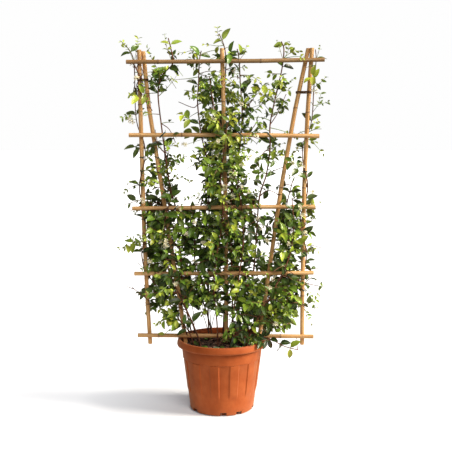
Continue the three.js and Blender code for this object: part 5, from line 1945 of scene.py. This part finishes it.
def model_band(name, pole, height, tilt):
    """Two turns of thin tie drawn tight round one cane, with its twisted ends in front."""
    centre = on_line(UPRIGHTS[pole], 2, height)
    line = []
    for step in range(49):
        angle = -math.pi / 2 + step / 24 * math.tau
        lift = 1.5 * (step / 24 - 1) + tilt * math.cos(angle)
        line.append(centre + np.array((8 * math.cos(angle), 8 * math.sin(angle), lift)))
    end = line[-1]
    line += [end + np.array((0.9 * step, -1.1 * step, -1.3 * step)) for step in range(1, 6)]
    return curve_mesh(name, [(line, [0.85] * len(line))], 1)


def model_tie(name, place, thickness):
    """A ribbon drawn round its rods, with a twisted knot and two short tails."""
    centre, across, off, rods = place
    loop = loop_round(rods, TIE_GAP + thickness / 2)
    turn = Matrix(np.column_stack([across, off, np.cross(across, off)]).tolist()).to_4x4()
    band = curve_mesh(
        name, [([(u, v, 0) for u, v in loop], [1 / MM] * len(loop))], 1,
        Matrix.Translation(metres(centre)) @ turn, twist_mode="Z_UP",
        extrude=(TIE_BREADTH / 2 - thickness / 2) * MM, bevel_depth=thickness / 2 * MM,
    )
    # The knot sits on the front of the loop, its tails twist round each other and part
    front = min(loop, key=lambda point: in_place(place, point)[1])
    knot = in_place(place, front)
    tails = []
    for side in (-1, 1):
        points = []
        for share in (step / 8 for step in range(9)):
            twist = math.pi * (2.2 * min(share, 0.55)) + (0 if side > 0 else math.pi)
            x = 0.9 * math.cos(twist) + max(0.0, share - 0.5) * 9 * side
            z = 0.9 * math.sin(twist) - 5 * share**2
            points.append(knot + np.array((x, -0.6 - 7 * share, z)))
        tails.append((points, [0.7 - 0.15 * step / 8 for step in range(9)]))
    return join(band, curve_mesh(f"{name}_tail", tails, 1))


def model_lashing(name, place):
    """Turns of twine laid side by side round two canes, with the end tucked and one tail."""
    loop = loop_round(place[3], 1.1)
    loop = np.array(loop + loop[:1])
    steps = [math.dist(a, b) for a, b in zip(loop, loop[1:])]
    lengths = np.concatenate([[0], np.cumsum(steps)])
    points = []
    for step in range(LASHING_TURNS * 40 + 1):
        along = (step / 40 % 1) * lengths[-1]
        on_loop = [np.interp(along, lengths, column) for column in loop.T]
        points.append(in_place(place, on_loop, (step / 40 - LASHING_TURNS / 2) * 1.9))
    front = points[-1] + np.array((0, -1.0, 0)) * 1.5
    tail = [front + np.array((-3 - 2 * i, -0.5 * i, -3.2 * i)) for i in range(1, 6)]
    route = Route(points[-2:] + tail)
    points = points[:-1] + [route.at(share) for share in np.linspace(0.2, 1, 14)]
    return curve_mesh(name, [(points, [0.95] * len(points))], 1)


class JASMINE_OT_ties(bpy.types.Operator):
    """Model the plastic ties and the twine lashings"""

    bl_idname = "jasmine.ties"
    bl_label = "Ties"

    def execute(self, context):
        settings = context.scene.jasmine_ties
        plastic, jute = tie_plastic(settings), jute_twine(settings)
        places = {name: bar_tie(*values) for name, values in BAR_TIES.items()}
        for name, (pole, stem, *values) in POLE_TIES.items():
            places[name] = pole_tie(pole, STEMS[stem].points, *values)
        for name, place in places.items():
            tie = model_tie(f"plant_{name}", place, settings.thickness / MM)
            put_material(tie, plastic)
            settle(tie, "tie_band", name, smooth_degrees=60)
        for number, (pole, height) in enumerate(BANDS):
            band = model_band(f"plant_band_{number}", pole, height, (-1) ** number * 1.4)
            put_material(band, plastic)
            settle(band, "tie_band", smooth_degrees=60)
        for name, (pole, other, *values) in LASHINGS.items():
            lashing = model_lashing(f"twine_{name}", pole_tie(pole, UPRIGHTS[other], *values))
            put_material(lashing, jute)
            settle(lashing, "tie_band", name, smooth_degrees=60)
        return {"FINISHED"}


# Leafy stems
class JASMINE_OT_foliage(bpy.types.Operator):
    """Grow the twining stems with their shoots and leaves"""

    bl_idname = "jasmine.foliage"
    bl_label = "Leafy stems"

    def execute(self, context):
        settings = context.scene.jasmine_foliage
        shapes = leaf_shapes()
        leaf_skin, bark = jasmine_leaf(settings), jasmine_bark(settings)
        shoot_skin = green_shoot(settings)
        for name in STEMS:
            grown = LeafyStem(name)
            leaves = leaf_mesh(f"star_jasmine_{name}", grown.leaves, shapes)
            put_material(leaves, leaf_skin, bark, shoot_skin)
            woody = curve_mesh("woody", [rod[:2] for rod in grown.rods if rod[2]], 2)
            put_material(woody, bark)
            green = curve_mesh("green", [rod[:2] for rod in grown.rods if not rod[2]], 0)
            put_material(green, shoot_skin)
            leafy = join(leaves, woody, green)
            settle(leafy, "jasmine_leaf", f"leafy_stem_{name}", smooth_degrees=55)
        return {"FINISHED"}


# Flower clusters of the solids: stem, share of the way up it, and turn round it
CLUSTERS = [
    ("centre_right", 0.43, 0.2), ("centre_left", 0.6, 2.6), ("front_right_column", 0.62, -1.2),
    ("right_post", 0.42, 2.4), ("left_post", 0.8, -0.6), ("left_front", 0.7, -1.6),
]
CLUSTER_REACH = 16
CLUSTER_LIFT = 5
# Small sprays in front: x and height
SPRAY_SPOTS = [
    (37, 716), (-12, 893), (83, 733), (264, 650), (60, 815), (-272, 1090), (110, 905), (22, 700),
    (64, 742), (-92, 628), (-118, 592), (-60, 560), (130, 610), (118, 640), (146, 566),
    (212, 560), (250, 682), (268, 596), (-140, 672), (-30, 640), (-178, 560), (-86, 500),
    (-20, 420), (158, 420), (196, 344), (110, 372), (-150, 430), (-236, 500), (92, 842),
    (-28, 960), (60, 1010), (-120, 880), (230, 820), (290, 730), (-258, 700), (176, 300),
]
FRONT_SPRAY_SIZE = 0.66
SPRAY_SIZE = 0.7
BUD_THROAT = 0.45


def cluster_plan(stem_name, along, turn):
    """Foot and head of a cluster's stalk, where it forks, and the way each flower faces."""
    stem = STEMS[stem_name]
    route = Route(stem.points)
    start = route.at(along)
    side, up = square_to(route.tangent(along))
    out = side * math.cos(turn) + up * math.sin(turn)
    foot = start + out * (mix(*stem.radius, along) - 0.4)
    head = start + out * CLUSTER_REACH + (0, 0, CLUSTER_LIFT)
    left, high = square_to(out)
    angles = [turn + flower * math.tau / 3 for flower in range(3)]
    facings = [unit(0.7 * out + left * math.cos(a) + high * math.sin(a)) for a in angles]
    return foot, head, mix(foot, head, 0.92), facings


def model_spray(name, plan, shapes, skins, rng, size=1.0):
    """A stalk with its open flowers and buds."""
    foot, head, fork, facings = plan
    (flower, bud), (skin, stalk_skin) = shapes, skins
    copies, throats = [], []

    def add_copy(shape, facing, place, own_size, throat):
        _, up = square_to(facing)
        copies.append((*shape, (up, np.cross(facing, up), facing), place, own_size))
        throats.append(throat)

    from_middle = np.linalg.norm(flower[0][:, :2], axis=1)
    for facing in facings:
        add_copy(flower, facing, fork, size, np.clip(1 - (from_middle - 1.5) / 3.0, 0, 1))
    stalks = [([foot, mix(foot, head, 0.5), fork], [0.75, 0.7, 0.65])]
    for _ in range(3):
        facing = unit(facings[0] + facings[1] + facings[2] + rng.normal(size=3) * 0.9)
        add_copy(bud, facing, fork + facing * 5, size * rng.uniform(0.7, 1), BUD_THROAT)
        stalks.append(([fork, fork + facing * 5.5], [0.45, 0.5]))
    piece = lay_copies(name, copies, dict(throat=throats))
    put_material(piece, skin)
    stalk = curve_mesh("stalk", stalks, 1)
    put_material(stalk, stalk_skin)
    return join(piece, stalk)


class JASMINE_OT_flowers(bpy.types.Operator):
    """Model the star-shaped flowers, their stalks and the buds"""

    bl_idname = "jasmine.flowers"
    bl_label = "Flowers"

    def execute(self, context):
        settings = context.scene.jasmine_flowers
        rng = np.random.default_rng(5)
        shapes = as_shape(model_flower()), as_shape(model_bud())
        skins = petal(settings), green_shoot(settings)
        for number, (stem_name, along, first_turn) in enumerate(CLUSTERS, 1):
            solid = SolidPoints(f"flower_cluster_{number}")
            turns = [first_turn + i * math.tau / 12 for i in range(12)]
            plan = min(
                (cluster_plan(stem_name, along, turn) for turn in turns),
                key=lambda trial: sum(solid.distance(trial[2] + 12 * way) for way in trial[3]),
            )
            cluster = model_spray(f"jasmine_flowers_{number}", plan, shapes, skins, rng)
            settle(cluster, "flower_petal", f"flower_cluster_{number}", smooth_degrees=50)
        sprays = {}
        routes = [Route(stem.points) for stem in STEMS.values()]
        points = [route.at(share) for route in routes for share in np.linspace(0.1, 1, 40)]
        for number, (x, z) in enumerate(SPRAY_SPOTS):
            nearest = min(
                points, key=lambda p: math.hypot(p[0] - x, p[2] - z) + 0.5 * max(p[1], -20)
            )
            fork = np.array((x, min(nearest[1], -14) - rng.uniform(12, 26), z))
            facings = [unit((0.3, -1, 0.25) + rng.normal(size=3) * 0.55) for _ in range(3)]
            plan = nearest, mix(nearest, fork, 0.9), fork, facings
            name = f"jasmine_spray_front_{number}"
            spray = model_spray(name, plan, shapes, skins, rng, FRONT_SPRAY_SIZE)
            settle(spray, "flower_petal", smooth_degrees=50)
        for number in range(settings.sprays):
            stem_name = list(STEMS)[int(rng.integers(14))]
            along = rng.uniform(0.35, 0.95)
            plan = self.find_room(stem_name, along, rng)
            if plan:
                spray = model_spray(f"jasmine_spray_{number}", plan, shapes, skins, rng, SPRAY_SIZE)
                settle(spray, "flower_petal", smooth_degrees=50)
        return {"FINISHED"}

    def find_room(self, stem_name, along, rng):
        """A plan whose flowers are clear of the canes, among twelve tries, or None."""
        for _ in range(12):
            plan = cluster_plan(stem_name, along, rng.uniform(0, math.tau))
            _, _, fork, facings = plan
            if not near_canes([*(fork + 14 * way for way in facings), fork]) and fork[1] < 10:
                return plan
        return None


# Stage: name, place, softness, share of the key light and colour of each light
LIGHTS = (
    ("key_light", (3.2, -0.6, 1.85), math.radians(24), 1, "#FFF5E4"),
    ("front_light", (0.8, -2.7, 2.2), math.radians(40), 0.25, "#FFF9F0"),
)


class JASMINE_OT_stage(bpy.types.Operator):
    """Lay the pale floor, hang the lights and set the camera"""

    bl_idname = "jasmine.stage"
    bl_label = "Stage"

    def execute(self, context):
        scene, settings = context.scene, context.scene.jasmine_stage
        grid = bpy.ops.mesh.primitive_grid_add
        floor = begin("studio_floor", grid, x_subdivisions=2, y_subdivisions=2, size=60)
        put_material(floor, studio_paper(settings))

        scene.world = bpy.data.worlds.new("soft_studio")
        add = open_nodes(scene.world)
        soft = add("Background", linear("#F6F8FF"), settings.ambient)
        backdrop = add("Background", linear("#FEFEFE"), 1)
        seen = add("LightPath", give="Is Camera Ray")
        add("OutputWorld", add("MixShader", seen, soft, backdrop))

        for name, place, softness, share, tint in LIGHTS:
            bpy.ops.object.select_all(action="DESELECT")
            bpy.ops.object.light_add(type="SUN", location=place)
            light = context.active_object
            light.name = name
            light.data.angle = softness
            light.data.energy = settings.key * share
            light.data.color = linear(tint)[:3]
            light.rotation_euler = Vector(place).to_track_quat("Z", "Y").to_euler()

        bpy.ops.object.select_all(action="DESELECT")
        bpy.ops.object.camera_add(location=metres(VIEWPOINT), rotation=(settings.tilt, 0, 0))
        camera = context.active_object
        camera.name = "photo_camera"
        camera.data.sensor_width = 36
        camera.data.lens = settings.lens
        camera.data.clip_end = 100
        scene.camera = camera
        scene.view_settings.view_transform = "Standard"
        scene.view_settings.look = "None"
        return {"FINISHED"}


# Each operator, and the settings that it reads from the scene under its own name
STEPS = {
    JASMINE_OT_stage: StageSettings,
    JASMINE_OT_pot: PotSettings,
    JASMINE_OT_soil: SoilSettings,
    JASMINE_OT_trellis: TrellisSettings,
    JASMINE_OT_ties: TieSettings,
    JASMINE_OT_foliage: FoliageSettings,
    JASMINE_OT_flowers: FlowerSettings,
}


class JASMINE_PT_panel(bpy.types.Panel):
    """Lists the pieces of the potted jasmine in the sidebar"""

    bl_label = "Potted Star Jasmine"
    bl_idname = "JASMINE_PT_panel"
    bl_space_type = "VIEW_3D"
    bl_region_type = "UI"
    bl_category = "Jasmine"

    def draw(self, context):
        for operator, group in STEPS.items():
            box = self.layout.box()
            settings = getattr(context.scene, operator.bl_idname.replace(".", "_"))
            for name in group.__annotations__:
                box.prop(settings, name)
            box.operator(operator.bl_idname)


def register():
    for operator, group in STEPS.items():
        bpy.utils.register_class(group)
        bpy.utils.register_class(operator)
        key = operator.bl_idname.replace(".", "_")
        setattr(bpy.types.Scene, key, bpy.props.PointerProperty(type=group))
    bpy.utils.register_class(JASMINE_PT_panel)


def unregister():
    bpy.utils.unregister_class(JASMINE_PT_panel)
    for operator, group in STEPS.items():
        delattr(bpy.types.Scene, operator.bl_idname.replace(".", "_"))
        bpy.utils.unregister_class(operator)
        bpy.utils.unregister_class(group)


def main():
    register()
    bpy.ops.jasmine.stage()
    bpy.ops.jasmine.pot()
    bpy.ops.jasmine.soil()
    bpy.ops.jasmine.trellis()
    bpy.ops.jasmine.ties()
    bpy.ops.jasmine.foliage()
    bpy.ops.jasmine.flowers()
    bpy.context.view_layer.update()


if __name__ == "__main__":
    main()
